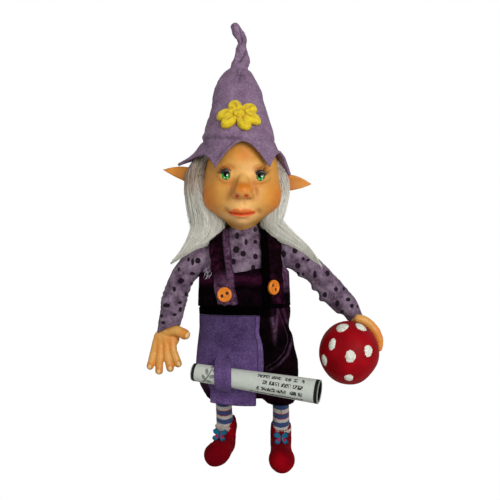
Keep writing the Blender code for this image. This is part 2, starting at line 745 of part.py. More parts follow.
rightHand = ball("right_hand", (-58.4, -9.0, 90.0), (10.3, 4.6, 8.6), 18, 10)
rightFingers = [
    tube("right_wrist", [(-57.5, -9, 92, 5.4), (-56.2, -8, 98, 5.6), (-54.8, -6.6, 105, 5.2)], 1, 3),
    tube("right_index", [(-52.8, -9.6, 88, 3.3), (-51.4, -11, 80, 3.3), (-50.0, -12.6, 73.6, 2.9)], 1, 2, tip=True),
    tube("right_middle", [(-57.4, -9.6, 88, 3.4), (-56.6, -11, 78, 3.3), (-55.6, -12.8, 70.2, 2.9)], 1, 2, tip=True),
    tube("right_ring", [(-61.8, -9.4, 88, 3.3), (-62.2, -10.6, 77, 3.2), (-62.9, -12.4, 68.2, 2.8)], 1, 2, tip=True),
    tube("right_little", [(-65.6, -9, 88, 3.0), (-67.4, -10, 78, 2.9), (-69.6, -11.4, 70.4, 2.6)], 1, 2, tip=True),
    tube("right_thumb", [(-56, -11.0, 94, 3.6), (-50.6, -13.4, 94.6, 3.7), (-46.6, -14.6, 93.4, 3.4)], 1, 2, tip=True)]
cut(rightSleeve, rightHand, *rightFingers)
join(rightHand, *rightFingers)


# Hair: a mohair lock on each side, over the shoulder, with its half of the back of the head
def lock(name, stations):
    rings = []
    path = smoothPath(stations, 1)
    for i, row in enumerate(path):
        way = path[min(i + 1, len(path) - 1)][:3] - path[max(i - 1, 0)][:3]
        way /= np.linalg.norm(way)
        side = np.cross((0, 1, 0), way)
        side /= np.linalg.norm(side)
        ring = []
        for k in range(12):
            a = 2 * math.pi * k / 12
            ring.append(tuple(row[:3] + side * row[3] * math.cos(a) + np.array([0, 1, 0]) * row[4] * math.sin(a)))
        rings.append(ring)
    return loft(name, rings)


def hairHalf(name, side, stations):
    backTable = [(230, -3, 8, 19.0, 13), (222, -3, 10, 22.5, 16), (210, -2, 12, 26, 19), (195, -2, 13, 27, 20),
                 (175, -1.5, 13, 23, 14), (162, -1.5, 17, 19, 7), (150, -1.5, 23, 15, 3.5)]
    back = stack(name, backTable, [row[0] for row in backTable], 20)
    shape = bmesh.new()
    bmesh.ops.create_cube(shape, size=200)
    for v in shape.verts:
        v.co.x += -2 - side * (100 - gap / 2)
        v.co.z += 190
    combine(back, place("half", shape), "DIFFERENCE")
    front = bmesh.new()
    bmesh.ops.create_cube(front, size=200)
    for v in front.verts:
        v.co.y += -100 + 4
        v.co.z += 190
    combine(back, place("front", front), "DIFFERENCE")
    return join(back, lock(name + "_lock", stations))


rightHair = hairHalf("hair_right", -1, [
    (-28.5, 5, 230, 6.5, 9.0), (-34.5, 4, 214, 8.6, 9.5), (-35.5, 3, 203, 10.0, 10.0), (-33.0, 2, 190, 11.5, 10.0),
    (-29.5, 1, 177, 12.0, 10.0), (-31.0, -1, 168, 11.0, 9.0), (-37.5, -3, 160.5, 7.6, 6.5), (-45.5, -5, 153.0, 4.6, 4.0),
    (-52.4, -6, 146.4, 2.4, 2.4), (-55.2, -6, 143.5, 0.8, 0.8)])
leftHair = hairHalf("hair_left", 1, [
    (17.5, 5, 229, 4.0, 8.0), (21.0, 4, 219, 5.5, 9.5), (26.0, 3, 204, 7.5, 10.0), (23.5, 2, 188, 8.0, 10.0),
    (19.5, 1, 175, 8.0, 9.5), (25.0, -1, 168, 7.5, 8.0), (34.5, -4, 161.5, 4.8, 5.5), (43.5, -6, 155.0, 4.4, 4.2),
    (51.0, -6, 146.6, 3.2, 3.4), (55.4, -6, 141.8, 1.4, 1.4)])
for hair, arm, strip in ((rightHair, sleeveRoom[0], rightStrap), (leftHair, sleeveRoom[1], leftStrap)):
    carve(hair, *headRoom, hatRoom, torsoRoom, arm, grown(strip))
    largest(hair)

looks = [(head, colour(0.62, 0.33, 0.12, 0.5)), (hat, colour(0.2, 0.12, 0.22)), (flower, colour(0.77, 0.57, 0.02)),
         (torso, colour(0.2, 0.13, 0.22)), (rightSleeve, colour(0.2, 0.13, 0.22)),
         (leftSleeve, colour(0.2, 0.13, 0.22)), (rightHand, colour(0.62, 0.33, 0.12, 0.5)),
         (leftHand, colour(0.62, 0.33, 0.12, 0.5)), (spotted, colour(0.26, 0.0, 0.01, 0.35)),
         (band, colour(0.03, 0.005, 0.03)), (trousers, colour(0.03, 0.005, 0.03)),
         (rightStrap, colour(0.04, 0.01, 0.04)), (leftStrap, colour(0.04, 0.01, 0.04)),
         (rightButton, colour(0.7, 0.19, 0.01, 0.4)), (leftButton, colour(0.7, 0.19, 0.01, 0.4)),
         (apron, colour(0.1, 0.05, 0.22)), (scroll, colour(0.54, 0.58, 0.53, 0.7)),
         (rightSock, colour(0.33, 0.26, 0.24)), (leftSock, colour(0.33, 0.26, 0.24)),
         (rightShoe, colour(0.15, 0.0, 0.01)), (leftShoe, colour(0.15, 0.0, 0.01)),
         (rightButterfly, colour(0.0, 0.08, 0.16, 0.4)), (leftButterfly, colour(0.0, 0.08, 0.16, 0.4)),
         (rightHair, colour(0.48, 0.47, 0.39)), (leftHair, colour(0.48, 0.47, 0.39))]
looks += [(eye, colour(0.5, 0.5, 0.45, 0.1)) for eye in eyes.values()]
looks += [(lash, colour(0.01, 0.01, 0.01, 0.6)) for lash in lashes.values()]
for piece, settings in looks:
    finish(piece, settings)

# The origin is the middle of the doll's box, on the floor
bpy.context.view_layer.update()
corners = np.array([v.co for piece in doll.objects for v in piece.data.vertices])
low, high = corners.min(axis=0), corners.max(axis=0)
shift = Vector((-(low[0] + high[0]) / 2, -(low[1] + high[1]) / 2, -low[2]))
for piece in doll.objects:
    for v in piece.data.vertices:
        v.co = v.co + shift
for spare in list(tools.objects):
    bpy.data.objects.remove(spare, do_unlink=True)
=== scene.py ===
# An elf doll, 33 cm tall: moulded felt hat with a foam flower, mohair, spotted jersey, crushed velvet
# dungarees, a felt apron holding a rolled paper, and a spotted clay ball.
# Lengths are in millimetres in the doll's own frame.
import math

import bpy
import numpy as np
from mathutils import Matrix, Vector, noise


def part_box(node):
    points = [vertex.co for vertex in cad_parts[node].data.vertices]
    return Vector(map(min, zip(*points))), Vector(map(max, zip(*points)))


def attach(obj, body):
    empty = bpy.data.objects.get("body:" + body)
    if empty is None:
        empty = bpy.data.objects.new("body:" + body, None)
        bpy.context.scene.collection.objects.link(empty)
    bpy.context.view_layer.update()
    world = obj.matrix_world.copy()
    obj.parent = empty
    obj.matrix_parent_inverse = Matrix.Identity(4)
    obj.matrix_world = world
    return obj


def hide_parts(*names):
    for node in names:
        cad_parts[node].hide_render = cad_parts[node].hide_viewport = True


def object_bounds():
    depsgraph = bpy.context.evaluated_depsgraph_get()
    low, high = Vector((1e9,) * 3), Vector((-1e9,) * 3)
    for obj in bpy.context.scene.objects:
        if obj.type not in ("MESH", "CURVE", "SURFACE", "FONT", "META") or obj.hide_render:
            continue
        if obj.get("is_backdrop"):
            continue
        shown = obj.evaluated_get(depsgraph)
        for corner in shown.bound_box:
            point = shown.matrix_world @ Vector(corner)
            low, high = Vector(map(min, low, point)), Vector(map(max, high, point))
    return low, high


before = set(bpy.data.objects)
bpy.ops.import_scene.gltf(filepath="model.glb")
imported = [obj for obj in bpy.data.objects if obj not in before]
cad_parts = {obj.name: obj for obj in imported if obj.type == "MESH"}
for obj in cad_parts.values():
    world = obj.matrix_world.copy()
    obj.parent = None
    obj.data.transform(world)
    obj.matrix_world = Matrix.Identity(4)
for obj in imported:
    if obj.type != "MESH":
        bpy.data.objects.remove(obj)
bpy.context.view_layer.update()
rng = np.random.default_rng(11)
ballCentre = np.array([75.1, -20.0, 79.9])
ballLow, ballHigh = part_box("spotted_ball")
shift = (np.array(ballLow) + np.array(ballHigh)) * 500 - ballCentre  # from the doll's frame to the CAD's


def toFrame(points):
    return (np.asarray(points, float) + shift) * 0.001


def linear(text):  # sRGB hex to the linear values that a shader takes
    parts = [int(text[i:i + 2], 16) / 255 for i in (1, 3, 5)]
    return np.array([c / 12.92 if c <= 0.04045 else ((c + 0.055) / 1.055) ** 2.4 for c in parts])


def ease(x, low, high):  # 0 at low, 1 at high, smooth between
    t = np.clip((np.asarray(x, float) - low) / (high - low), 0, 1)
    return t * t * (3 - 2 * t)


def crest(far, width):  # 1 where far is 0, gone at about twice the width
    return np.exp(-(far / width) ** 2)


def roundTurn(count):  # that many angles round a circle
    return np.linspace(0, 2 * math.pi, count, endpoint=False)


def hill(points, at, size):  # a soft round weight, 1 at its middle
    return np.exp(-0.5 * np.sum(((points - np.asarray(at, float)) / size) ** 2, axis=-1))


def lineDistance(points, line):  # distance from each point to a row of points, and how far along it is
    points, line = np.asarray(points, float), np.asarray(line, float)
    best = np.full(points.shape[:-1], 1e9)
    along = np.zeros(points.shape[:-1])
    for i in range(len(line) - 1):
        a, way = line[i], line[i + 1] - line[i]
        t = np.clip(((points - a) @ way) / (way @ way), 0, 1)
        far = np.linalg.norm(points - (a + t[..., None] * way), axis=-1)
        near = far < best
        best = np.where(near, far, best)
        along = np.where(near, (i + t) / (len(line) - 1), along)
    return best, along


def rough(points, size, seed=0.0, octaves=3):  # smooth random field from -1 to 1, features of the given size
    spot = Vector((seed, seed * 1.7, -seed))
    flat = np.asarray(points, float).reshape(-1, 3) / size
    values = [noise.fractal(Vector(p) + spot, 1.0, 2.0, octaves) for p in flat]
    return np.array(values).reshape(np.asarray(points).shape[:-1])


def between(table, z):  # reads the columns of a table of stations at heights z, with the corners rounded
    rows = np.array(sorted(table))
    reach = np.linspace(-1.6, 1.6, 5)
    at = np.clip(np.asarray(z, float)[..., None] + reach, rows[0, 0], rows[-1, 0])
    weight = np.array([1, 3, 4, 3, 1]) / 12
    return [(np.interp(at, rows[:, 0], rows[:, k]) * weight).sum(-1) for k in range(1, rows.shape[1])]


def smoothPath(stations, steps):  # Catmull-Rom rows through the stations
    p = np.array(stations, float)
    p = np.vstack([2 * p[0] - p[1], p, 2 * p[-1] - p[-2]])
    out = []
    for i in range(1, len(p) - 2):
        a, b, c, d = p[i - 1:i + 3]
        for t in np.arange(steps) / steps:
            out.append(0.5 * (2 * b + (c - a) * t + (2 * a - 5 * b + 4 * c - d) * t * t
                              + (3 * b - a - 3 * c + d) * t ** 3))
    return np.array(out + [p[-2]])


def ringOf(angles, power=2.0):  # unit oval, squarer as the power rises
    c, s = np.cos(angles), np.sin(angles)
    grow = (np.abs(c) ** power + np.abs(s) ** power) ** (-1 / power)
    return c * grow, s * grow


def gridFaces(rows, cols, ring, keep=None):
    r, c = np.meshgrid(np.arange(rows - 1), np.arange(cols if ring else cols - 1), indexing="ij")
    if keep is not None:
        r, c = r[keep], c[keep]
    r, c = r.ravel(), c.ravel()
    d = (c + 1) % cols
    return np.stack([r * cols + c, r * cols + d, (r + 1) * cols + d, (r + 1) * cols + c], 1)


def gridNormals(grid, ring):
    if ring:
        across = np.roll(grid, -1, 1) - np.roll(grid, 1, 1)
    else:
        across = np.gradient(grid, axis=1)
    n = np.cross(across, np.gradient(grid, axis=0))
    return n / (np.linalg.norm(n, axis=-1, keepdims=True) + 1e-9)


def gridUv(grid, ring):  # millimetres along the rows and down the columns
    loop = np.concatenate([grid, grid[:, :1]], 1) if ring else grid
    u = np.linalg.norm(np.diff(loop, axis=1), axis=-1).mean(0)
    v = np.linalg.norm(np.diff(loop, axis=0), axis=-1).mean(1)
    u, v = np.concatenate([[0], np.cumsum(u)]), np.concatenate([[0], np.cumsum(v)])
    return np.stack(np.meshgrid(u, v), -1)


def meshNormals(points, faces):
    corner = points[faces]
    n = np.cross(corner[:, 2] - corner[:, 0], corner[:, 3 % faces.shape[1]] - corner[:, 1])
    out = np.zeros_like(points)
    for k in range(faces.shape[1]):
        np.add.at(out, faces[:, k], n)
    return out / (np.linalg.norm(out, axis=1, keepdims=True) + 1e-12)


# Each face set is an index array of three or four columns, and its uv set has its corners' coordinates
def makeObject(name, points, faceSets, uvSets=None, values=None):
    mesh = bpy.data.meshes.new(name)
    loops = np.concatenate([f.ravel() for f in faceSets])
    sizes = np.concatenate([np.full(len(f), f.shape[1]) for f in faceSets])
    mesh.vertices.add(len(points))
    mesh.vertices.foreach_set("co", toFrame(points).astype(np.float32).ravel())
    mesh.loops.add(len(loops))
    mesh.loops.foreach_set("vertex_index", loops.astype(np.int32))
    mesh.polygons.add(len(sizes))
    mesh.polygons.foreach_set("loop_start", (np.cumsum(sizes) - sizes).astype(np.int32))
    if uvSets is not None:
        layer = mesh.uv_layers.new(name="millimetres")
        layer.data.foreach_set("uv", np.concatenate([u.reshape(-1, 2)
            for u in uvSets]).astype(np.float32).ravel())
    for key, value in (values or {}).items():
        value = np.asarray(value, float)
        if value.ndim == 2:
            paint = mesh.attributes.new(key, "FLOAT_COLOR", "POINT")
            full = np.concatenate([value, np.ones((len(value), 1))], 1)
            paint.data.foreach_set("color", full.astype(np.float32).ravel())
        else:
            mask = mesh.attributes.new(key, "FLOAT", "POINT")
            mask.data.foreach_set("value", value.astype(np.float32))
    mesh.validate()
    mesh.update()
    mesh.shade_smooth()
    piece = bpy.data.objects.new(name, mesh)
    bpy.context.scene.collection.objects.link(piece)
    return piece


def body(name, grid, ring=True, values=None, caps=(True, True)):  # a closed body from rings of points
    rows, cols = grid.shape[:2]
    points = grid.reshape(-1, 3)
    faces = gridFaces(rows, cols, ring)
    uv = gridUv(grid, ring)
    r, c = faces[:, 0] // cols, faces[:, 0] % cols
    corners = np.stack([uv[r, c], uv[r, c + 1], uv[r + 1, c + 1], uv[r + 1, c]], 1)
    faceSets, uvSets = [faces], [corners]
    values = {k: np.asarray(v, float).reshape(rows * cols, *np.shape(v)[2:]) for k,
        v in (values or {}).items()}
    for end, row in ((0, 0), (1, rows - 1)):
        if not caps[end]:
            continue
        hub = len(points)
        points = np.vstack([points, grid[row].mean(0)])
        values = {k: np.concatenate([v, v[row * cols:row * cols + 1]]) for k, v in values.items()}
        a = row * cols + np.arange(cols)
        b = row * cols + (np.arange(cols) + 1) % cols
        fan = np.stack([b, a, np.full(cols, hub)] if end == 0 else [a, b, np.full(cols, hub)], 1)
        faceSets.append(fan)
        uvSets.append(np.stack([uv[row, :cols], uv[row, :cols], uv[row, :cols]], 1))
    return makeObject(name, points, faceSets, uvSets, values)


# Points, faces and corners of a sheet: its grid is the underside, and it is thickened along the normals
def shellOf(grid, thick, ring=False, keep=None, values=None, edge=0.35):
    rows, cols = grid.shape[:2]
    n = gridNormals(grid, ring)
    under, over = grid.reshape(-1, 3), (grid + n * thick).reshape(-1, 3)
    faces = gridFaces(rows, cols, ring, keep)
    uv = gridUv(grid, ring)
    r, c = faces[:, 0] // cols, faces[:, 0] % cols
    corners = np.stack([uv[r, c], uv[r, c + 1], uv[r + 1, c + 1], uv[r + 1, c]], 1)
    count = rows * cols
    sides = {}
    for face, corner in zip(faces, corners):
        for k in range(4):
            key = (face[k], face[(k + 1) % 4])
            if (key[1], key[0]) in sides:
                del sides[(key[1], key[0])]
            else:
                sides[key] = (corner[k], corner[(k + 1) % 4])
    flat = uv[:, :cols].reshape(-1, 2)
    middle, extra, extraFrom = {}, [], []
    outward = {}
    for (a, b) in sides:
        way = np.cross(under[b] - under[a], n.reshape(-1, 3)[a])
        way /= np.linalg.norm(way) + 1e-9
        outward[a] = outward.get(a, 0) + way
        outward[b] = outward.get(b, 0) + way
    for a, way in outward.items():
        way = way / (np.linalg.norm(way) + 1e-9)
        middle[a] = 2 * count + len(extra)
        extra.append((under[a] + over[a]) / 2 + way * thick * edge)
        extraFrom.append(a)
    rim = [(a, b, middle[b], middle[a]) for a, b in sides] + [(middle[a], middle[b], count + b, count + a)
        for a, b in sides]
    rimUv = [(flat[a], flat[b], flat[b], flat[a]) for a, b in sides] * 2
    points = np.vstack([under, over] + ([np.array(extra)] if extra else []))
    sets = [faces[:, ::-1], faces + count] + ([np.array(rim)[:, ::-1]] if rim else [])
    uvs = [corners[:, ::-1], corners] + ([np.array(rimUv)[:, ::-1]] if rim else [])
    out = {}
    for key, value in (values or {}).items():
        value = np.asarray(value, float).reshape(count, *np.shape(value)[2:])
        out[key] = np.concatenate([value, value] + ([value[extraFrom]] if extra else []))
    return points, sets, uvs, out


def shell(name, grid, thick, ring=False, keep=None, values=None, edge=0.35):
    points, sets, uvs, out = shellOf(grid, thick, ring, keep, values, edge)
    used = np.zeros(len(points), bool)
    for s in sets:
        used[s.ravel()] = True
    index = np.cumsum(used) - 1
    return makeObject(name, points[used], [index[s] for s in sets], uvs, {k: v[used] for k, v in out.items()})


def spherePoints(across=48, down=28):  # unit sphere rows without its poles, as a grid
    t = np.linspace(0.02, math.pi - 0.02, down)
    a = roundTurn(across)
    t, a = np.meshgrid(t, a, indexing="ij")
    return np.stack([np.sin(t) * np.cos(a), np.sin(t) * np.sin(a), np.cos(t)], -1)


def closed(grid):  # one ring grid as points and triangles, with both ends capped
    rows, cols = grid.shape[:2]
    quads = gridFaces(rows, cols, True)
    tris = np.vstack([quads[:, [0, 1, 2]], quads[:, [0, 2, 3]]])
    points = np.vstack([grid.reshape(-1, 3), grid[0].mean(0), grid[-1].mean(0)])
    a, b = np.arange(cols), (np.arange(cols) + 1) % cols
    last = (rows - 1) * cols
    tris = np.vstack([tris, np.stack([b, a, np.full(cols, rows * cols)], 1),
                      np.stack([last + a, last + b, np.full(cols, rows * cols + 1)], 1)])
    return points, tris


def pathFrames(path):  # tangent, side and up for each row of a path, turned as little as possible
    way = np.gradient(path[:, :3], axis=0)
    way /= np.linalg.norm(way, axis=1, keepdims=True)
    side = np.cross(way[0], (0, 1, 0))
    if np.linalg.norm(side) < 0.2:
        side = np.cross(way[0], (1, 0, 0))
    sides = []
    for w in way:
        side = side - w * (side @ w)
        side = side / np.linalg.norm(side)
        sides.append(side)
    sides = np.array(sides)
    return way, sides, np.cross(way, sides)


# Rings round a path of (x, y, z, radius), with rounded ends if asked
def tubeGrid(stations, steps=6, across=24, tip=True, start=False, flat=1.0):
    path = smoothPath(stations, steps)
    for end, wanted in ((0, start), (-1, tip)):
        if wanted:
            last, before = path[end], path[1 if end == 0 else -2]
            out = (last[:3] - before[:3]) / np.linalg.norm(last[:3] - before[:3])
            dome = [[*(last[:3] + out * last[3] * t), last[3] * math.sqrt(max(0.01, 1 - t * t))]
                    for t in (0.3, 0.55, 0.75, 0.9, 0.98)]
            path = np.vstack([dome[::-1], path]) if end == 0 else np.vstack([path, dome])
    way, side, up = pathFrames(path)
    a = roundTurn(across)
    return (path[:, None, :3] + path[:, None, 3:4] * (side[:, None] * np.cos(a)[None, :, None]
                                                      + up[:, None] * flat * np.sin(a)[None, :, None]))


def evaluatedMesh(piece):
    bpy.context.view_layer.update()
    return bpy.data.meshes.new_from_object(piece.evaluated_get(bpy.context.evaluated_depsgraph_get()))


def fused(parts, voxel, rounds):  # one skin round closed bodies that overlap: points in millimetres and quads
    points, tris, base = [], [], 0
    for p, t in parts:
        points.append(p)
        tris.append(t + base)
        base += len(p)
    blank = makeObject("blank", np.vstack(points), [np.vstack(tris)])
    step = blank.modifiers.new("skin", "REMESH")
    step.mode = "VOXEL"
    step.voxel_size = voxel * 0.001
    soft = blank.modifiers.new("soft", "SMOOTH")
    soft.factor = 0.5
    soft.iterations = rounds
    mesh = evaluatedMesh(blank)
    out = np.zeros(len(mesh.vertices) * 3, np.float32)
    mesh.vertices.foreach_get("co", out)
    corners = np.zeros(len(mesh.loops), np.int32)
    mesh.loops.foreach_get("vertex_index", corners)
    bpy.data.objects.remove(blank)
    return out.reshape(-1, 3).astype(float) * 1000 - shift, corners.reshape(-1, 4)


mainSetting = {"Math": "operation", "VectorMath": "operation", "Attribute": "attribute_name",
    "Mix": "data_type"}


def addNode(tree, kind, settings=None, inputs=None, stops=None):  # a setting given as text is the main one
    node = tree.nodes.new("ShaderNode" + kind)
    if isinstance(settings, str):
        settings = {mainSetting[kind]: settings}
    for key, value in (settings or {}).items():
        setattr(node, key, value)
    for key, value in (inputs or {}).items():
        if isinstance(value, bpy.types.Node):
            value = value.outputs[0]
        if isinstance(value, bpy.types.NodeSocket):
            tree.links.new(value, node.inputs[key])
        elif isinstance(value, str):
            node.inputs[key].default_value = (*linear(value), 1.0)
        else:
            node.inputs[key].default_value = value
    for i, (at, tone) in enumerate(stops or []):
        stop = node.color_ramp.elements[i] if i < 2 else node.color_ramp.elements.new(at)
        stop.position = at
        stop.color = (*linear(tone), 1.0) if isinstance(tone, str) else (tone, tone, tone, 1.0)
    return node


def newMaterial(name, **values):
    material = bpy.data.materials.new(name)
    material.use_nodes = True
    tree = material.node_tree
    shader = tree.nodes["Principled BSDF"]
    for key, value in values.items():
        socket = shader.inputs[key.replace("_", " ")]
        socket.default_value = (*linear(value), 1.0) if isinstance(value, str) else value
    return material, tree, shader


def wire(tree, shader, **sockets):  # what drives each of the shader's sockets
    for key, source in sockets.items():
        tree.links.new(source, shader.inputs[key.replace("_", " ")])


def perMm(size):  # a texture scale that gives features of this many millimetres in the frame's metres
    return 1000.0 / size


def dress(piece, material, nodes):
    piece.data.materials.clear()
    piece.data.materials.append(material)
    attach(piece, "root")
    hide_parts(*nodes)
    return piece


print("helpers ready, the doll's frame is shifted by", np.round(shift, 2))

# Camera, floor and light
studio = {"lens": 49.92, "camera": (3.75, -520.0, 153.8), "floor": 3.0, "key": 3.4, "side": 0.3, "fill": 0.42}
camera = bpy.data.objects.new("camera", bpy.data.cameras.new("camera"))
camera.data.lens = studio["lens"]
camera.data.sensor_width = 36
camera.data.clip_start = 0.01
camera.location = toFrame(studio["camera"])
camera.rotation_euler = (math.radians(90), 0, 0)
bpy.context.scene.collection.objects.link(camera)
bpy.context.scene.camera = camera
bpy.context.scene.view_settings.view_transform = "Standard"


def seenRays(tree):  # 1 for rays that should meet the white background
    path = addNode(tree, "LightPath")
    return addNode(tree, "Math", "MAXIMUM", {0: path.outputs["Is Camera Ray"],
        1: path.outputs["Is Transmission Ray"]})


world = bpy.data.worlds.new("studio")
bpy.context.scene.world = world
world.use_nodes = True
tree = world.node_tree
tree.nodes.clear()
fill = addNode(tree, "Background", inputs={"Color": (1, 1, 1, 1), "Strength": studio["fill"]})
white = addNode(tree, "Background", inputs={"Color": (1, 1, 1, 1), "Strength": 1.0})
mixed = addNode(tree, "MixShader", inputs={0: seenRays(tree), 1: fill, 2: white})
addNode(tree, "OutputWorld", inputs={"Surface": mixed})

size = studio["floor"]
floorMesh = bpy.data.meshes.new("floor")
floorMesh.from_pydata([(-size, -size, 0), (size, -size, 0), (size, size, 0), (-size, size, 0)], [],
    [(0, 1, 2, 3)])
floor = bpy.data.objects.new("floor", floorMesh)
bpy.context.scene.collection.objects.link(floor)
paper, tree, shader = newMaterial("matt white photo paper", Base_Color="#d9d9d9", Roughness=0.9,
    Specular_IOR_Level=0.1)
glow = addNode(tree, "Emission", inputs={"Color": (1, 1, 1, 1), "Strength": 1.0})
mixed = addNode(tree, "MixShader", inputs={0: seenRays(tree), 1: shader.outputs[0], 2: glow})
tree.links.new(mixed.outputs[0], tree.nodes["Material Output"].inputs["Surface"])
floorMesh.materials.append(paper)
floor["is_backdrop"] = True

for name, at, across, power in (("softbox", (0.58, -1.2, 0.5), 0.8, studio["key"]),
                                ("side_panel", (-1.0, -0.7, 0.5), 0.8, studio["side"])):
    lamp = bpy.data.lights.new(name, "AREA")
    lamp.size = across
    lamp.energy = power * 4
    lampObject = bpy.data.objects.new(name, lamp)
    lampObject.location = at
    lampObject.rotation_euler = (Vector((0, 0, 0.19)) - Vector(at)).to_track_quat("-Z", "Y").to_euler()
    bpy.context.scene.collection.objects.link(lampObject)
print("camera, floor and light ready")


# Painted modelling clay: satin, a little uneven from the fingers, with dry-brushed colour over it
def clayMaterial(name, roughness):
    material, tree, shader = newMaterial(name, IOR=1.5, Specular_IOR_Level=0.3, Coat_Weight=0.06,
        Coat_Roughness=0.3)
    place = addNode(tree, "TexCoord").outputs["Object"]
    paint = addNode(tree, "Attribute", "paint")
    patches = addNode(tree, "TexNoise", inputs={"Vector": place, "Scale": perMm(7), "Detail": 4.0,
        "Roughness": 0.6})
    brush = addNode(tree, "TexNoise", inputs={"Vector": place, "Scale": perMm(1.6), "Detail": 3.0,
        "Distortion": 1.2})
    light = addNode(tree, "MapRange", inputs={"Value": patches, "From Min": 0.3, "From Max": 0.7,
        "To Min": 0.94, "To Max": 1.07})
    strokes = addNode(tree, "MapRange", inputs={"Value": brush, "From Min": 0.3, "From Max": 0.7,
        "To Min": 0.96, "To Max": 1.04})
    both = addNode(tree, "Math", "MULTIPLY", {0: light, 1: strokes})
    tone = addNode(tree, "VectorMath", "SCALE", {0: paint.outputs["Color"], "Scale": both})
    wire(tree, shader, Base_Color=tone.outputs[0])
    gloss = addNode(tree, "MapRange", inputs={"Value": brush, "From Min": 0.3, "From Max": 0.7,
                                              "To Min": roughness - 0.06, "To Max": roughness + 0.08})
    wire(tree, shader, Roughness=gloss.outputs[0])
    prints = addNode(tree, "TexNoise", inputs={"Vector": place, "Scale": perMm(0.8), "Detail": 2.0})
    bump = addNode(tree, "Bump", inputs={"Height": prints, "Strength": 0.08, "Distance": 0.0004})
    soft = addNode(tree, "Bump", inputs={"Height": patches, "Strength": 0.12, "Distance": 0.0012,
        "Normal": bump})
    wire(tree, shader, Normal=soft.outputs[0])
    return material


skinClay = clayMaterial("satin painted polymer clay", 0.42)

# Head: skull, cheeks, nose and ears fused, then pressed and painted
# In face, deep and lid are painted-shade tones and light and pale are painted-highlight tones; the rest are
# the clay's own paint
face = {"centre": (-2.0, 0.0, 207.0), "half": (27.5, 28.5, 41.0), "voxel": 0.64, "skin": "#d09640",
    "light": "#e2ae62", "pale": "#f6bd79", "blush": "#cf730c", "deep": "#a56014", "lip": "#cf5d0c",
    "mouth": "#d0280a", "nostril": "#cf3418", "lid": "#b3590c"}
eyeSpots = {"right_eye": np.array([-13.5, -21.2, 207.2]), "left_eye": np.array([11.2, -21.2, 206.3])}
eyeRadius = 6.5
d = spherePoints(150, 110)
crown = 1 + 0.16 * np.maximum(0, d[..., 2] - 0.35) * (1 - np.maximum(0, d[..., 2]) ** 4)
skull = (np.array(face["centre"]) + d * np.array(face["half"]) * np.stack([crown, crown,
    np.ones_like(crown)], -1))
lift = (3.4 * hill(skull, (-20, -20, 192), 9) + 3.4 * hill(skull, (16, -20, 191), 9)
        + 4.5 * hill(skull, (-3, -24, 172), 7) + 3.5 * hill(skull, (-2.5, -27, 186), 7)
        + 1.6 * hill(skull, (-14, -24, 215), 6) + 1.6 * hill(skull, (11, -24, 215), 6))
skull = skull + np.where(d[..., 1:2] < 0, lift[..., None] * d * (0.5, 1.0, 0.3), 0)
jowl = 4.6 * hill(skull, (-26, -7, 187), (12, 13, 11)) + 4.6 * hill(skull, (23, -7, 185.5), (12, 13, 11))
skull = skull + jowl[..., None] * np.stack([d[..., 0], 0.35 * d[..., 1], np.full_like(jowl, -0.1)], -1)
parts = [closed(skull)]
for centre, radii in (((-1.4, -34.0, 195.2), (6.7, 7.4, 5.9)), ((-6.2, -30.6, 193.4), (3.7, 4.8, 3.4)),
                      ((3.6, -30.6, 193.2), (3.7, 4.8, 3.4)), ((-13.5, -20.9, 207.2), (7.4, 7.1, 7.2)),
                      ((11.2, -20.9, 206.3), (7.4, 7.1, 7.2))):
    parts.append(closed(np.array(centre) + spherePoints(40, 24) * radii))
parts.append(closed(tubeGrid([(-1.3, -22.5, 214, 3.0), (-1.3, -25.5, 207, 3.9), (-1.4, -30, 200, 5.0),
    (-1.4, -33, 196, 5.4)], 5, 24)))
ears = {"right": ((-22, 6, 203), (-62.3, 5, 214.6)), "left": ((18, 6, 203), (50.5, 5, 203.6))}
for root, tip in ears.values():
    root, tip = np.array(root, float), np.array(tip, float)
    rings = []
    for t in np.linspace(0, 1, 40):
        c = root + (tip - root) * t + np.array([0, 0, 1.5 * math.sin(math.pi * t)])
        wide = 7.5 * (0.75 + 0.9 * t) * max(0.05, 1 - t ** 1.7)
        thick = 2.7 * (1 - 0.72 * t)
        a = roundTurn(36)
        w, s = np.cos(a), np.sin(a)
        dish = np.where(s < 0, 0.25 + 0.9 * np.abs(w) ** 2.2, 1.0)
        rings.append(np.stack([np.full(36, c[0]), c[1] + thick * np.sign(s) * np.abs(s) ** 0.6 * dish,
            c[2] + wide * w], -1))
    parts.append(closed(np.array(rings)))
p, quads = fused(parts, face["voxel"], 7)
n = meshNormals(p, quads)
front = ease(-p[:, 1], 8, 16)
x, y, z = p.T


def onFace(line):  # a line of (x, z) as distances measured in the plane of the face
    flat = np.stack([x, z], 1)
    return lineDistance(flat, line)


def groove(line, depth, wide):
    far, along = onFace(line)
    return -depth * front * np.exp(-(far / wide) ** 2) * (0.35
        + 0.65 * np.sin(np.pi * np.clip(along, 0.02, 0.98)))


mouthX = (x + 2.2) / 11.2
mouthLine = 179.4 + 1.7 * mouthX ** 2
inMouth = front * ease(1.12 - np.abs(mouthX), 0, 0.25) * (np.abs(z - 180) < 9)
bow = 4.7 * np.clip(1 - np.abs(mouthX) ** 2.0, 0, 1) - 1.2 * crest(mouthX, 0.2)
upperLip = np.clip((z - mouthLine) / np.maximum(bow, 0.3), 0, 1.4)
lowerSize = 2.9 * np.clip(1 - np.abs(mouthX * 1.08) ** 2.2, 0, 1)
lowerLip = np.clip((mouthLine - z) / np.maximum(lowerSize, 0.3), 0, 1.4)
isUpper = (z >= mouthLine) & (upperLip < 1.25)
isLower = (z < mouthLine) & (lowerLip < 1.25)
press = np.zeros(len(p))
press += inMouth * isUpper * 1.1 * np.sin(np.pi * np.clip(upperLip, 0, 1.0)) ** 0.7
press += inMouth * isLower * 1.5 * np.sin(np.pi * np.clip(lowerLip, 0, 1.0)) ** 0.7
press -= inMouth * 1.1 * crest(z - mouthLine, 0.5)
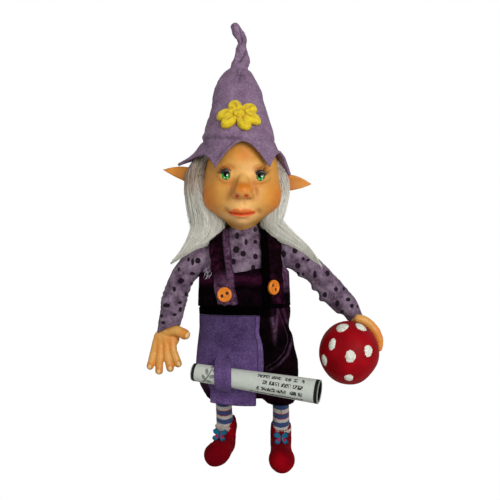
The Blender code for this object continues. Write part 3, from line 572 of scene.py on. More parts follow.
press -= 1.1 * front * (hill(p[:, [0, 2]], (-14.2, 182.0), 1.5) + hill(p[:, [0, 2]], (11.3, 181.4), 1.4))
press -= 0.9 * front * hill(p[:, [0, 2]], (-1.8, 174.8), (4.5, 1.3))          # under the lower lip
press -= 0.7 * front * crest(x + 0.9, 1.1) * ease(z, 184, 186) * (1 - ease(z, 189, 191))
press += groove([(-6.5, 205), (-9.2, 199.5), (-9.8, 194.5), (-11.2, 189.5)], 1.3, 2.2)
press += groove([(4.6, 203), (7.0, 199), (7.4, 194), (8.0, 189.5)], 1.3, 2.2)
press += groove([(-19.4, 209.6), (-17.2, 213.2), (-13.6, 214.8), (-9.8, 213.4), (-7.6, 210.4)], 1.0, 1.0)
press += groove([(5.6, 210.0), (8.2, 213.2), (11.4, 214.2), (15.0, 212.4), (17.0, 208.8)], 1.0, 1.0)
press += groove([(-18.6, 203.0), (-16.2, 200.8), (-12.8, 200.2), (-9.6, 201.4)], 0.7, 1.2)
press += groove([(7.6, 200.8), (10.8, 199.6), (14.2, 200.4), (16.4, 202.6)], 0.7, 1.2)
press += 0.5 * front * hill(p[:, [0, 2]], (-6.2, 184.2), 2.4) + 0.5 * front * hill(p[:, [0, 2]],
    (3.4, 184.0), 2.4)
press += 0.25 * rough(p, 11, 3.0)
p = p + n * press[:, None]
p[:, 2] += 2.3 * ease(-p[:, 2], -179, -167) * ease(-p[:, 1], 0, 12)  # a short chin that stands forward
p[:, 1] -= 2.6 * hill(p[:, [0, 2]], (-2, 171.5), (9, 5)) * ease(-p[:, 1], 8, 16)
p[:, 0] = -2.0 + (p[:, 0] + 2.0) * (1 - 0.36 * ease(-p[:, 2], -187, -171))  # the jaw runs in to the chin
for side in (-5.2, 1.0):
    hole = np.exp(-(((p[:, 0] - side) / 1.25) ** 2 + ((p[:, 2] - 191.0) / 1.0) ** 2)) * ease(-p[:, 1], 27, 30)
    p[:, 2] += hole * 0.8
    p[:, 1] += hole * 0.9
opened = {}
for name, centre in eyeSpots.items():
    e = np.sqrt(np.abs((p[:, 0] - centre[0]) / 3.15) ** 2.2
        + np.abs((p[:, 2] - centre[2] + 0.15) / 3.35) ** 2.2)
    ahead = p[:, 1] < -18
    inside = ahead & (e < 1.0)
    way = p - centre
    sunk = centre + way / np.linalg.norm(way, axis=1, keepdims=True) * (eyeRadius - 1.1)
    p[inside] = (sunk + (p - sunk) * ease(e, 0.82, 1.0)[:, None])[inside]
    rim = ahead & (e >= 1.0) & (e < 1.5)
    p[rim] += (n * (0.35 * np.sin(np.pi * np.clip((e - 1) / 0.5, 0, 1)))[:, None])[rim]
    opened[name] = np.where(ahead, e, 9)

x, y, z = p.T
flat = p[:, [0, 2]]
tones = {key: linear(value) for key, value in face.items() if isinstance(value, str)}
paint = np.tile(tones["skin"], (len(p), 1))


def brushOn(paint, tone, weight):
    return paint + (tones[tone] - paint) * np.clip(weight, 0, 1)[:, None]


mottle = 0.75 + 0.5 * (0.5 + 0.5 * rough(p, 5, 9.0))
# Painted highlight: a lighter tone over the forehead, the muzzle and most of all the chin, standing in for
# the light they catch
paint = brushOn(paint, "light", 0.9 * front * (hill(flat, (0, 213), (8, 12)) + hill(flat, (-2, 185), (10, 8))
    + 0.9 * hill(flat, (-2, 174), (12, 5))))
paint = brushOn(paint, "pale", 0.95 * front * hill(flat, (-2, 175), (12, 6.5)))
cheeks = hill(p, (-28.5, -12, 190), (8.5, 12, 12)) + hill(p, (25.5, -12, 189), (8.5, 12, 12))
paint = brushOn(paint, "blush", 0.95 * cheeks * mottle)
paint = brushOn(paint, "blush", front * mottle * (0.75 * hill(flat, (-1, 222), (7, 4.5)) + 0.95 * hill(flat,
    (-2.2, 168.6), (5.5, 1.7))))
paint = brushOn(paint, "blush", 0.9 * front * (hill(flat, (-0.6, 198.2), (5.5, 2.6)) + 0.5 * hill(flat,
    (-1, 194), (6, 3))))
# Painted shade in the creases beside the nose
for line, strength in (([(-7, 204), (-9.6, 199), (-10.6, 194), (-12.0, 190.5)], 0.62),
        ([(4.8, 202.5), (7.6, 199), (8.2, 194), (6.4, 190.5)], 0.5)):
    far, along = onFace(line)
    paint = brushOn(paint, "deep", strength * front * crest(far, 2.3))
# Painted shade in the creases above and below the eyes
paint = brushOn(paint, "lid", 0.7 * front * (hill(flat, (-12.6, 212.4), (4.8, 1.7))
    + hill(flat, (11.6, 212.0), (4.6, 1.5))))
paint = brushOn(paint, "lid", 0.4 * front * (hill(flat, (-13.4, 201.6), (4.4, 1.4))
    + hill(flat, (11.2, 201.0), (4.4, 1.4))))
# Painted shade in the dimples at the mouth's corners
paint = brushOn(paint, "deep", 0.7 * front * (hill(flat, (-13.2, 182.2), (1.6, 1.1))
    + hill(flat, (10.4, 181.6), (1.6, 1.1))))
lipWeight = (np.where(z >= mouthLine, ease(1.12 - upperLip, 0, 0.3), ease(1.12 - lowerLip, 0, 0.3))
    * (inMouth > 0.3))
paint = brushOn(paint, "lip", (0.9 - 0.3 * (z < mouthLine)) * lipWeight * ease(inMouth, 0.3, 0.8))
paint = brushOn(paint, "mouth", 0.95 * inMouth * crest(z - mouthLine + 0.35, 1.05))
for side in (-5.2, 1.0):
    paint = brushOn(paint, "nostril", 1.1 * np.exp(-(((x - side) / 1.5) ** 2 + ((z - 191.4) / 1.15) ** 2))
        * ease(-y, 27, 30))
earWeight = ease(np.abs(x + 2), 28, 36) * (y > -8)
paint = brushOn(paint, "blush", earWeight * (0.5 + 0.4 * ease(-y, -6, -1)))
# Painted shade in the ears' hollows, where the hair lies over them
paint = brushOn(paint, "deep", 0.85 * (y > -8) * (hill(flat, (-49, 207), (7.5, 6)) + 0.7 * hill(flat,
    (34, 203), (4.5, 5))))
for e in opened.values():
    paint = paint * (1 - 0.92 * (ease(1.06 - e, 0, 0.1) * 1.0)[:, None])
head = makeObject("painted_head", p, [quads], values={"paint": paint})
dress(head, skinClay, ["head"])
print("head:", len(quads), "faces")

# Eyes: glossy beads with a painted green iris, a wide pupil and a dark ring, with a painted shadow of the
# upper lid over the top and painted highlights
enamel, tree, shader = newMaterial("lacquered glass-look enamel", IOR=1.5, Roughness=0.2,
    Specular_IOR_Level=0.12)
place = addNode(tree, "TexCoord").outputs["Object"]
streaks = addNode(tree, "TexNoise", inputs={"Vector": place, "Scale": perMm(0.7), "Detail": 4.0})
level = addNode(tree, "MapRange", inputs={"Value": streaks, "From Min": 0.3, "From Max": 0.7, "To Min": 0.8,
    "To Max": 1.2})
tone = addNode(tree, "VectorMath", "SCALE",
               {0: addNode(tree, "Attribute", "paint").outputs["Color"], "Scale": level})
wire(tree, shader, Base_Color=tone.outputs[0])
# shine is the tone of the painted highlights
iris = {"aim": {"right_eye": (0.1, 0.6), "left_eye": (-0.1, 0.6)}, "iris": 4.3, "pupil": 1.9,
    "white": "#c9c6b8", "green": "#2ea043", "edge": "#0b2a10", "black": "#060606", "shine": "#e9f3ee"}
for name, centre in eyeSpots.items():
    ball = spherePoints(120, 90)
    # Pole looks ahead
    grid = centre + np.stack([ball[..., 0], -ball[..., 2], ball[..., 1]], -1) * (eyeRadius - 0.05)
    off = np.hypot(grid[..., 0] - centre[0] - iris["aim"][name][0], grid[..., 2] - centre[2]
        - iris["aim"][name][1])
    ahead = grid[..., 1] < centre[1]
    tone = np.tile(linear(iris["white"]), off.shape + (1,))
    around = np.arctan2(grid[..., 2] - centre[2], grid[..., 0] - centre[0])
    flecks = 0.8 + 0.35 * np.sin(around * 23) * np.sin(around * 9 + 1)
    green = linear(iris["green"]) * flecks[..., None]
    tone = np.where((ahead & (off < iris["iris"]))[..., None], green, tone)
    tone = np.where((ahead & (off < iris["iris"]) & (off > iris["iris"] - 0.45))[..., None],
        linear(iris["edge"]), tone)
    tone = np.where((ahead & (off < iris["pupil"]))[..., None], linear(iris["black"]), tone)
    # Painted shadow of the upper lid: the top of each bead is painted black
    lidShadow = grid[..., 2] - centre[2] > 0.9 + 0.12 * (grid[..., 0] - centre[0]) ** 2 * 0.5
    tone = np.where((ahead & lidShadow)[..., None], linear(iris["black"]), tone)
    # Painted highlights: three pale glints on each iris
    for sx, sz, size in ((1.0, -0.3, 0.55), (-1.1, -2.1, 0.35), (1.5, -2.3, 0.3)):
        paintedGlint = np.hypot(grid[..., 0] - centre[0] - sx, grid[..., 2] - centre[2] - sz)
        tone = np.where((ahead & (paintedGlint < size))[..., None], linear(iris["shine"]), tone)
    dress(body("bead_" + name, grid, values={"paint": tone}), enamel, [name])

# Lashes: curved dark hairs along the upper lid, over a painted root line
lashHair, tree, shader = newMaterial("dark brush bristle", Roughness=0.45, IOR=1.55)
place = addNode(tree, "TexCoord").outputs["Object"]
streaks = addNode(tree, "TexNoise", inputs={"Vector": place, "Scale": perMm(1.2), "Detail": 2.0})
tone = addNode(tree, "ValToRGB", inputs={0: streaks}, stops=[(0.3, "#0b0807"), (0.7, "#2c1712")])
wire(tree, shader, Base_Color=tone.outputs[0])


def hairTube(rows, radii, across=4):  # one thin hair as points and quads
    path = np.column_stack([rows, radii])
    way, side, up = pathFrames(path)
    a = roundTurn(across)
    grid = (path[:, None, :3] + path[:, None, 3:4] * (side[:, None] * np.cos(a)[None, :, None]
        + up[:, None] * np.sin(a)[None, :, None]))
    return grid


def bundle(name, grids, values=None):  # many small ring grids as one piece, each with its colour
    points, faces, caps, tones, base = [], [], [], [], 0
    for i, grid in enumerate(grids):
        r, c = grid.shape[:2]
        points.append(grid.reshape(-1, 3))
        faces.append(gridFaces(r, c, True) + base)
        points.append(grid[[0, -1]].mean(1))  # a hub closes each end
        a = np.arange(c)
        caps.append(np.stack([(a + 1) % c, a, np.full(c, r * c)], 1) + base)
        caps.append(np.stack([(r - 1) * c + a, (r - 1) * c + (a + 1) % c, np.full(c, r * c + 1)], 1) + base)
        if values is not None:
            rowTones = np.broadcast_to(values[i], (r, 3))
            tones.append(np.vstack([np.repeat(rowTones, c, 0), rowTones[[0, -1]]]))
        base += r * c + 2
    return makeObject(name, np.vstack(points), [np.vstack(faces), np.vstack(caps)],
                      values={"paint": np.vstack(tones)} if values is not None else None)


lidSteps = 26
lashPlan = {"right_lash": ("right_eye", -1, 20), "left_lash": ("left_eye", 1, 22)}
for name, (eye, side, count) in lashPlan.items():
    centre = eyeSpots[eye]
    grids = []
    rootT = np.linspace(-1, 1, lidSteps)
    lid = np.stack([centre[0] + 3.3 * np.sin(rootT * 1.35), np.zeros(lidSteps),
        centre[2] - 0.1 + 3.45 * np.cos(rootT * 1.2) - 0.25], -1)
    lid[:, 1] = centre[1] - np.sqrt(np.maximum(1, (eyeRadius + 0.55) ** 2 - (lid[:, 0] - centre[0]) ** 2
        - (lid[:, 2] - centre[2]) ** 2))
    grids.append(tubeGrid([(*q, 0.65 + 0.85 * (1 - abs(t))) for q, t in zip(lid, rootT)], 1, 10, flat=0.7))
    for i in range(count):
        t = -0.95 + 1.9 * (i + rng.uniform(-0.3, 0.3)) / (count - 1)
        k = np.clip((t + 1) / 2 * (lidSteps - 1), 0, lidSteps - 1)
        root = np.array([np.interp(k, np.arange(lidSteps), lid[:, j]) for j in range(3)])
        outer = (t * side + 1) / 2
        long = 2.6 + 3.4 * outer + rng.uniform(-0.5, 0.6)
        lean = side * (0.15 + 1.0 * outer) + 0.55 * t + rng.normal(0, 0.12)
        way = np.array([math.sin(lean) * 1.0, -0.75, 0.75 * math.cos(lean)])
        way /= np.linalg.norm(way)
        s = np.linspace(0, 1, 9)[:, None]
        rows = root + way * long * s + np.array([0, 0.1, 0.9]) * (s ** 2) * long * 0.35
        grids.append(hairTube(rows, 0.17 * (1 - 0.8 * s[:, 0] ** 1.5)))
    dress(bundle("fringe_" + name, grids), lashHair, [name])
print("eyes and lashes ready")


# Moulded wool felt: matt, mottled where the fibres cross, with pale loose fibres lying on top; a mask adds
# painted shade in folds
def feltMaterial(name, dark, mid, pale, fibre):
    material, tree, shader = newMaterial(name, Roughness=0.92, Sheen_Weight=0.15, Sheen_Roughness=0.5,
        Sheen_Tint=fibre, Specular_IOR_Level=0.15, IOR=1.5)
    place = addNode(tree, "TexCoord").outputs["Object"]
    cloud = addNode(tree, "TexNoise", inputs={"Vector": place, "Scale": perMm(9), "Detail": 3.0})
    clump = addNode(tree, "TexNoise", inputs={"Vector": place, "Scale": perMm(1.5), "Detail": 5.0,
        "Roughness": 0.75})
    tangle = addNode(tree, "TexNoise", {"noise_type": "RIDGED_MULTIFRACTAL"},
                     {"Vector": place, "Scale": perMm(1.5), "Detail": 4.0,
        "Distortion": 1.5})  # fibres drawn coarser
    both = addNode(tree, "Math", "MULTIPLY_ADD", {0: cloud, 1: 0.45, 2: clump})
    tone = addNode(tree, "ValToRGB", inputs={0: both}, stops=[(0.52, dark), (0.95, pale), (0.73, mid)])
    hairs = addNode(tree, "MapRange", inputs={"Value": tangle, "From Min": 0.9, "From Max": 1.5,
        "To Min": 0.0, "To Max": 0.5})
    mixed = addNode(tree, "Mix", "RGBA", {0: hairs, 6: tone, 7: fibre})
    groove = addNode(tree, "Attribute", "pressed").outputs["Fac"]  # painted shade, darker where the mask marks folds and grooves
    light = addNode(tree, "Math", "MULTIPLY_ADD", {0: groove, 1: -0.6, 2: 1.0})
    shade = addNode(tree, "VectorMath", "SCALE", {0: mixed.outputs[2], "Scale": light})
    wire(tree, shader, Base_Color=shade.outputs[0])
    bump = addNode(tree, "Bump", inputs={"Height": tangle, "Strength": 0.5, "Distance": 0.0005})
    dents = addNode(tree, "Bump", inputs={"Height": clump, "Strength": 0.35, "Distance": 0.0006,
        "Normal": bump})
    wire(tree, shader, Normal=dents.outputs[0])
    return material


lilacFelt = feltMaterial("lilac moulded wool felt", "#634b5e", "#7f6680", "#988296", "#b5a4b2")

# Hat: inside up from the cone, out round the petals' edge, up the cone again and into the twisted tip
hat = {"felt": 1.8, "across": 210, "brimZ": 235.4, "topZ": 292.2, "folds": 3}
crownTable = [(235.4, -4.8, -3, 26.6, 26.6), (240.7, -4.4, -1, 25.8, 25.4), (251.5, -4.8, 4, 23.2, 22.6),
              (262.5, -4.8, 9, 20.5, 20.0), (273.5, -5.4, 14, 18.6, 18), (279.5, -5.7, 17, 17.3, 16.6),
              (285.3, -6.3, 20, 14.8, 14.3), (290.0, -6.0, 22, 11.6, 11.3), (292.4, -5.2, 23.2, 9.5, 9.2)]
petalTips = [(-121, -20.5, -30, 212.1), (-86, -1.1, -31.0, 230.6), (-52, 17.3, -30, 212.1),
             (-22, 25.1, -15, 224.1), (5, 33.2, 1, 208.6), (30, 25, 17, 224), (58, 17, 33, 211),
             (88, -3, 32.5, 225), (117, -24, 32, 211), (146, -31, 16, 223), (176, -49.7, 1, 216.7),
             (205, -29.5, -15, 222.7)]
twistPath = [(-4.8, 23.6, 293.8, 7.9), (-4.3, 24.2, 297.0, 6.6), (-3.1, 25.4, 303.5, 5.9),
    (-3.0, 26.2, 311.0, 4.4), (-2.2, 26.6, 316.0, 3.2), (-2.9, 26.4, 320.0, 3.7), (-6.0, 26.0, 325.0, 3.9),
    (-7.8, 25.6, 329.2, 3.4)]


def brimEdge(angle):  # even stations are petal tips, odd ones the round notches between them
    turns = [t[0] for t in petalTips]
    a = (angle + 121) % 360 - 121
    for i in range(len(turns)):
        low, high = turns[i], turns[(i + 1) % len(turns)] + (360 if i == len(turns) - 1 else 0)
        if low <= a <= high:
            t = (a - low) / (high - low)
            here, there = np.array(petalTips[i][1:]), np.array(petalTips[(i + 1) % len(turns)][1:])
            tip, notch, t = (here, there, t) if i % 2 == 0 else (there, here, 1 - t)
            point = tip + (notch - tip) * (1 - (1 - t) ** 1.25)
            point[2] = tip[2] + (notch[2] - tip[2]) * (1 - (1 - t) ** 2.1)
            return point
    return np.array(petalTips[0][1:])


cols = hat["across"]
turn = np.radians(np.linspace(0, 360, cols, endpoint=False) - 121)
edgeLine = np.array([brimEdge(math.degrees(a)) for a in turn])
cx, cy, rx, ry = between(crownTable, hat["brimZ"])
topLine = np.stack([cx + (rx - hat["felt"]) * np.cos(turn), cy + (ry - hat["felt"]) * np.sin(turn),
                    np.full(cols, hat["brimZ"])], -1)
away = np.stack([np.cos(turn), np.sin(turn), np.zeros(cols)], -1)
brimRows = []
for t in np.linspace(1, 0, 26):
    brimRows.append(topLine + (edgeLine - topLine) * t - (away * 1.6 + np.array([0, 0, 1.2]))
        * math.sin(math.pi * t))
crownZ = np.linspace(hat["brimZ"] + 1, hat["topZ"], 52)
crownRows = []
for z in crownZ:
    cx, cy, rx, ry = between(crownTable, z)
    crownRows.append(np.stack([cx + (rx - hat["felt"]) * np.cos(turn),
        cy + (ry - hat["felt"]) * np.sin(turn), np.full(cols, z)], -1))
inner = np.array(brimRows + crownRows)
for _ in range(3):  # rounds the bend above the brim
    inner[1:-1] = (inner[:-2] + 2 * inner[1:-1] + inner[2:]) / 4
out = gridNormals(inner, True)
outer = inner + out * hat["felt"]
dents = rough(outer, 13, 5.0) * 0.75 + rough(outer, 4.5, 6.0) * 0.28
pucker = hill(outer, (-4.4, 8.0, 287.0), (2.0, 5.0, 1.3))
around = np.arctan2(outer[..., 0] + 4.4, outer[..., 2] - 287.0)
rays = crest(np.hypot(outer[..., 0] + 4.4, outer[..., 2] - 287.0) - 4.2, 2.8) * (outer[..., 1] < 20)
lap = outer[..., 2] - 233.6 - 1.4 * np.sin(turn * 2 + 1)[None, :]
folded = 0.3 + 0.7 * ease(-outer[..., 0], -8, 16)  # the bend above the brim is sharpest on the doll's right
outer = (outer + out * (dents - 2.6 * pucker + 0.8 * rays * np.cos(around * 7)
    - folded * (1.1 * crest(lap, 1.1) - 0.7 * crest(lap - 3.0, 2.0)))[..., None])
path = smoothPath(twistPath, 9)
last, before = path[-1], path[-2]
way = (last[:3] - before[:3]) / np.linalg.norm(last[:3] - before[:3])
for t in (0.35, 0.6, 0.8, 0.93, 0.99):
    path = np.vstack([path, [*(last[:3] + way * last[3] * t), last[3] * math.sqrt(1 - t * t)]])
level = np.concatenate([[0], np.cumsum(np.linalg.norm(np.diff(path[:, :3], axis=0), axis=1))])
way = np.gradient(path[:, :3], axis=0)
way /= np.linalg.norm(way, axis=1, keepdims=True)
sideX = np.cross((0, 1.0, 0), way)
sideX /= np.linalg.norm(sideX, axis=1, keepdims=True)
sideY = np.cross(way, sideX)
winding = hat["folds"] * turn[None, :] - 0.33 * level[:, None]
fold = np.abs(np.sin(winding / 2 + 0.4)) ** 0.45
swell = 0.56 + 0.56 * fold + 0.06 * np.sin(winding * 2 + level[:, None])
fadeIn = ease(level, 1, 6)[:, None]
swell = 1 + (swell - 1) * fadeIn
twist = (path[:, None, :3] + (path[:, 3:4] * swell)[..., None] * (sideX[:, None] * np.cos(turn)[None, :,
    None] + sideY[:, None] * np.sin(turn)[None, :, None]))
twist += (rough(twist, 3.0, 8.0) * 0.25)[..., None] * (twist - path[:, None, :3]) / path[:, None, 3:4]
edgeRow = (inner[0] + outer[0]) / 2 + away * 0.5 - np.array([0, 0, 0.45])
grid = np.concatenate([inner[::-1][4:], edgeRow[None], outer, twist])
# Painted shade: the felt is darkened in the pucker at the tip, the crease above the brim, the rays round the
# pucker and the twist's grooves
pressed = np.zeros(grid.shape[:2])
start = len(inner) - 3
pressed[start:start + len(outer)] = np.clip(0.9 * pucker + 0.5 * folded * crest(lap, 0.9)
    + 0.35 * rays * (0.5 - 0.5 * np.cos(around * 7)), 0, 1)
pressed[start + len(outer):] = np.clip(1.6 * (0.62 - fold), 0, 0.8) * fadeIn
dress(body("pointed_hat", grid, values={"pressed": pressed}), lilacFelt, ["hat"])
print("hat:", grid.shape)

# Flower: cut foam, puffed into six pads round a button, each pad pinched along its middle
yellowFoam, tree, shader = newMaterial("yellow craft foam", Roughness=0.72, IOR=1.45, Sheen_Weight=0.1,
    Sheen_Roughness=0.5)
place = addNode(tree, "TexCoord").outputs["Object"]
cells = addNode(tree, "TexVoronoi", inputs={"Vector": place, "Scale": perMm(0.9)})  # foam cells drawn coarser
clouds = addNode(tree, "TexNoise", inputs={"Vector": place, "Scale": perMm(2.6), "Detail": 4.0})
tone = addNode(tree, "ValToRGB", inputs={0: clouds}, stops=[(0.32, "#c49c06"), (0.7, "#e8cf12"),
    (0.5, "#dcbf0a")])
# Painted shade: a darker yellow in the pinched creases and round the button
hollow_and_shade = addNode(tree, "Attribute", "hollow_and_shade")
shade = addNode(tree, "Mix", "RGBA", {0: hollow_and_shade.outputs["Fac"], 6: tone, 7: "#a8760c"})
wire(tree, shader, Base_Color=shade.outputs[2])
bump = addNode(tree, "Bump", inputs={"Height": cells, "Strength": 0.3, "Distance": 0.0003})
wire(tree, shader, Normal=bump.outputs[0])
flower = {"at": np.array([-4.2, -19.8, 251.2]), "tilt": math.radians(42),
    "pads": (108, 43, -18, -68, -136, 173), "reach": 10.0, "long": 6.5, "wide": 5.0, "button": 4.3,
    "steps": 288}
angles = roundTurn(flower["steps"])
outline = np.full(flower["steps"], 5.6)
for pad in flower["pads"]:
    middle = flower["reach"] * np.array([math.cos(math.radians(pad)), math.sin(math.radians(pad))])
    axis = middle / np.linalg.norm(middle)
    for i, a in enumerate(angles):  # where a ray from the middle leaves the pad's oval
        ray = np.array([math.cos(a), math.sin(a)])
        dx, dy = ray @ axis / flower["long"], (ray[0] * axis[1] - ray[1] * axis[0]) / flower["wide"]
        mx = flower["reach"] / flower["long"]
        qa, qb, qc = dx * dx + dy * dy, -2 * mx * dx, mx * mx - 1
        if qb * qb - 4 * qa * qc > 0 and dx > 0:
            outline[i] = max(outline[i], (-qb + math.sqrt(qb * qb - 4 * qa * qc)) / (2 * qa))
for _ in range(2):
    outline = (np.roll(outline, 1) + 2 * outline + np.roll(outline, -1)) / 4
rim = np.concatenate([np.linspace(0.03, 0.9, 34), np.linspace(0.915, 1.0, 10)])
u = rim[:, None] * outline[None] * np.cos(angles)
v = rim[:, None] * outline[None] * np.sin(angles)
rise, hollows = np.zeros_like(u), np.zeros_like(u)
for pad in flower["pads"]:
    axis = np.array([math.cos(math.radians(pad)), math.sin(math.radians(pad))])
    along, aside = u * axis[0] + v * axis[1], -u * axis[1] + v * axis[0]
    oval = np.sqrt(((along - flower["reach"]) / (flower["long"] + 0.6)) ** 2
        + (aside / (flower["wide"] + 0.4)) ** 2)
    rise = np.maximum(rise, np.sqrt(np.clip(1 - oval ** 2.6, 0, 1)))
    crease = (crest(aside - 0.25 * np.sin(along * 0.5), 0.75) * ease(along, 4.5,
        6.5) * (1 - ease(along, 10.5, 13)))
    hollows = np.maximum(hollows, crease)
middle = np.hypot(u, v)
rise = np.where(middle < 6, np.maximum(rise * ease(middle, 4.3, 6.0),
    1.05 * np.sqrt(np.clip(1 - (middle / flower["button"]) ** 3, 0, 1))), rise)
hollows = np.maximum(hollows, 0.8 * crest(middle - flower["button"] - 0.2, 0.6))
height = 1.4 + 1.7 * rise - 0.8 * hollows + 0.18 * rough(np.stack([u, v, rise * 0], -1), 1.4, 2.0)
height *= np.sqrt(np.clip(1.02 - np.clip((rim - 0.9) / 0.1, 0, 1) ** 2, 0, 1))[:, None]
sag = 0.011 * u ** 2  # wraps a little round the cone
low = np.stack([u, sag + 1.6 + 0 * u, v], -1)[::-1]
high = np.stack([u, sag - height, v], -1)
c, s = math.cos(flower["tilt"]), math.sin(flower["tilt"])
grid = np.concatenate([high, low[::3]])
grid = (flower["at"] + np.stack([grid[..., 0], grid[..., 1] * c + grid[..., 2] * s,
    grid[..., 2] * c - grid[..., 1] * s], -1))
masks = np.concatenate([np.clip(hollows, 0, 1) * 0.6, np.zeros_like(low[::3][..., 0])])
dress(body("foam_flower", grid[::-1], values={"hollow_and_shade": masks[::-1]}), yellowFoam,
    ["hat_flower"])
print("flower ready")

# Mohair: long pale goat hair, silky, lying in locks with loose ends
mohair, tree, shader = newMaterial("combed mohair", Roughness=0.5, IOR=1.55, Sheen_Weight=0.2,
    Sheen_Roughness=0.4, Sheen_Tint="#f1eee2", Specular_IOR_Level=0.35)
paint = addNode(tree, "Attribute", "paint")
place = addNode(tree, "TexCoord").outputs["Object"]
stretch = addNode(tree, "Mapping", inputs={"Vector": place, "Scale": (1.0, 1.0, 0.08)})
streaks = addNode(tree, "TexNoise", inputs={"Vector": stretch, "Scale": perMm(1.1), "Detail": 4.0,
    "Distortion": 0.6})
level = addNode(tree, "MapRange", inputs={"Value": streaks, "From Min": 0.3, "From Max": 0.7, "To Min": 0.86,
    "To Max": 1.1})
tone = addNode(tree, "VectorMath", "SCALE", {0: paint.outputs["Color"], "Scale": level})
wire(tree, shader, Base_Color=tone.outputs[0])
bump = addNode(tree, "Bump", inputs={"Height": streaks, "Strength": 0.35, "Distance": 0.0005})
wire(tree, shader, Normal=bump.outputs[0])
backTable = [(231, -3, 5, 22.4, 19.5), (222, -3, 6, 25.8, 22.7), (210, -2, 10, 28, 21.4),
    (195, -2, 13, 27, 20), (175, -1.5, 13, 23, 14), (162, -1.5, 17, 19, 7), (150, -1.5, 23, 15, 3.5)]
locks = {"hair_right": (-1, [(-27.0, 2, 230, 4.6, 6.0), (-34.5, 4, 214, 8.6, 9.5),
    (-35.5, 3, 203, 10.0, 10.0), (-33.0, 2, 190, 11.5, 10.0), (-28.4, 1, 177, 13.3, 10.0),
    (-29.6, -1, 168, 11.8, 9.0), (-36.5, -3, 160.5, 6.4, 6.2), (-43.4, -5, 153.8, 3.0, 3.6),
    (-50.6, -6, 147.4, 1.2, 1.6), (-55.0, -6, 143.6, 0.5, 0.5)]),
    "hair_left": (1, [(17.5, 5, 229, 4.0, 8.0), (21.0, 4, 219, 5.5, 9.5), (26.0, 3, 204, 7.5, 10.0),
    (23.5, 2, 188, 8.0, 10.0), (19.5, 1, 175, 8.0, 9.5), (25.0, -1, 168, 7.5, 8.0),
    (34.5, -4, 161.5, 4.8, 5.5), (43.6, -6, 154.8, 3.4, 3.6), (51.0, -6, 147.6, 2.2, 2.6),
    (56.0, -6, 141.9, 0.5, 0.6)])}
hair = {"tones": ("#dcd9cb", "#e6e4d9", "#cdcaba", "#f0efe7"), "front": 1200, "back": 400, "radius": 0.175,
    "points": 9, "wisps": (60, 24)}
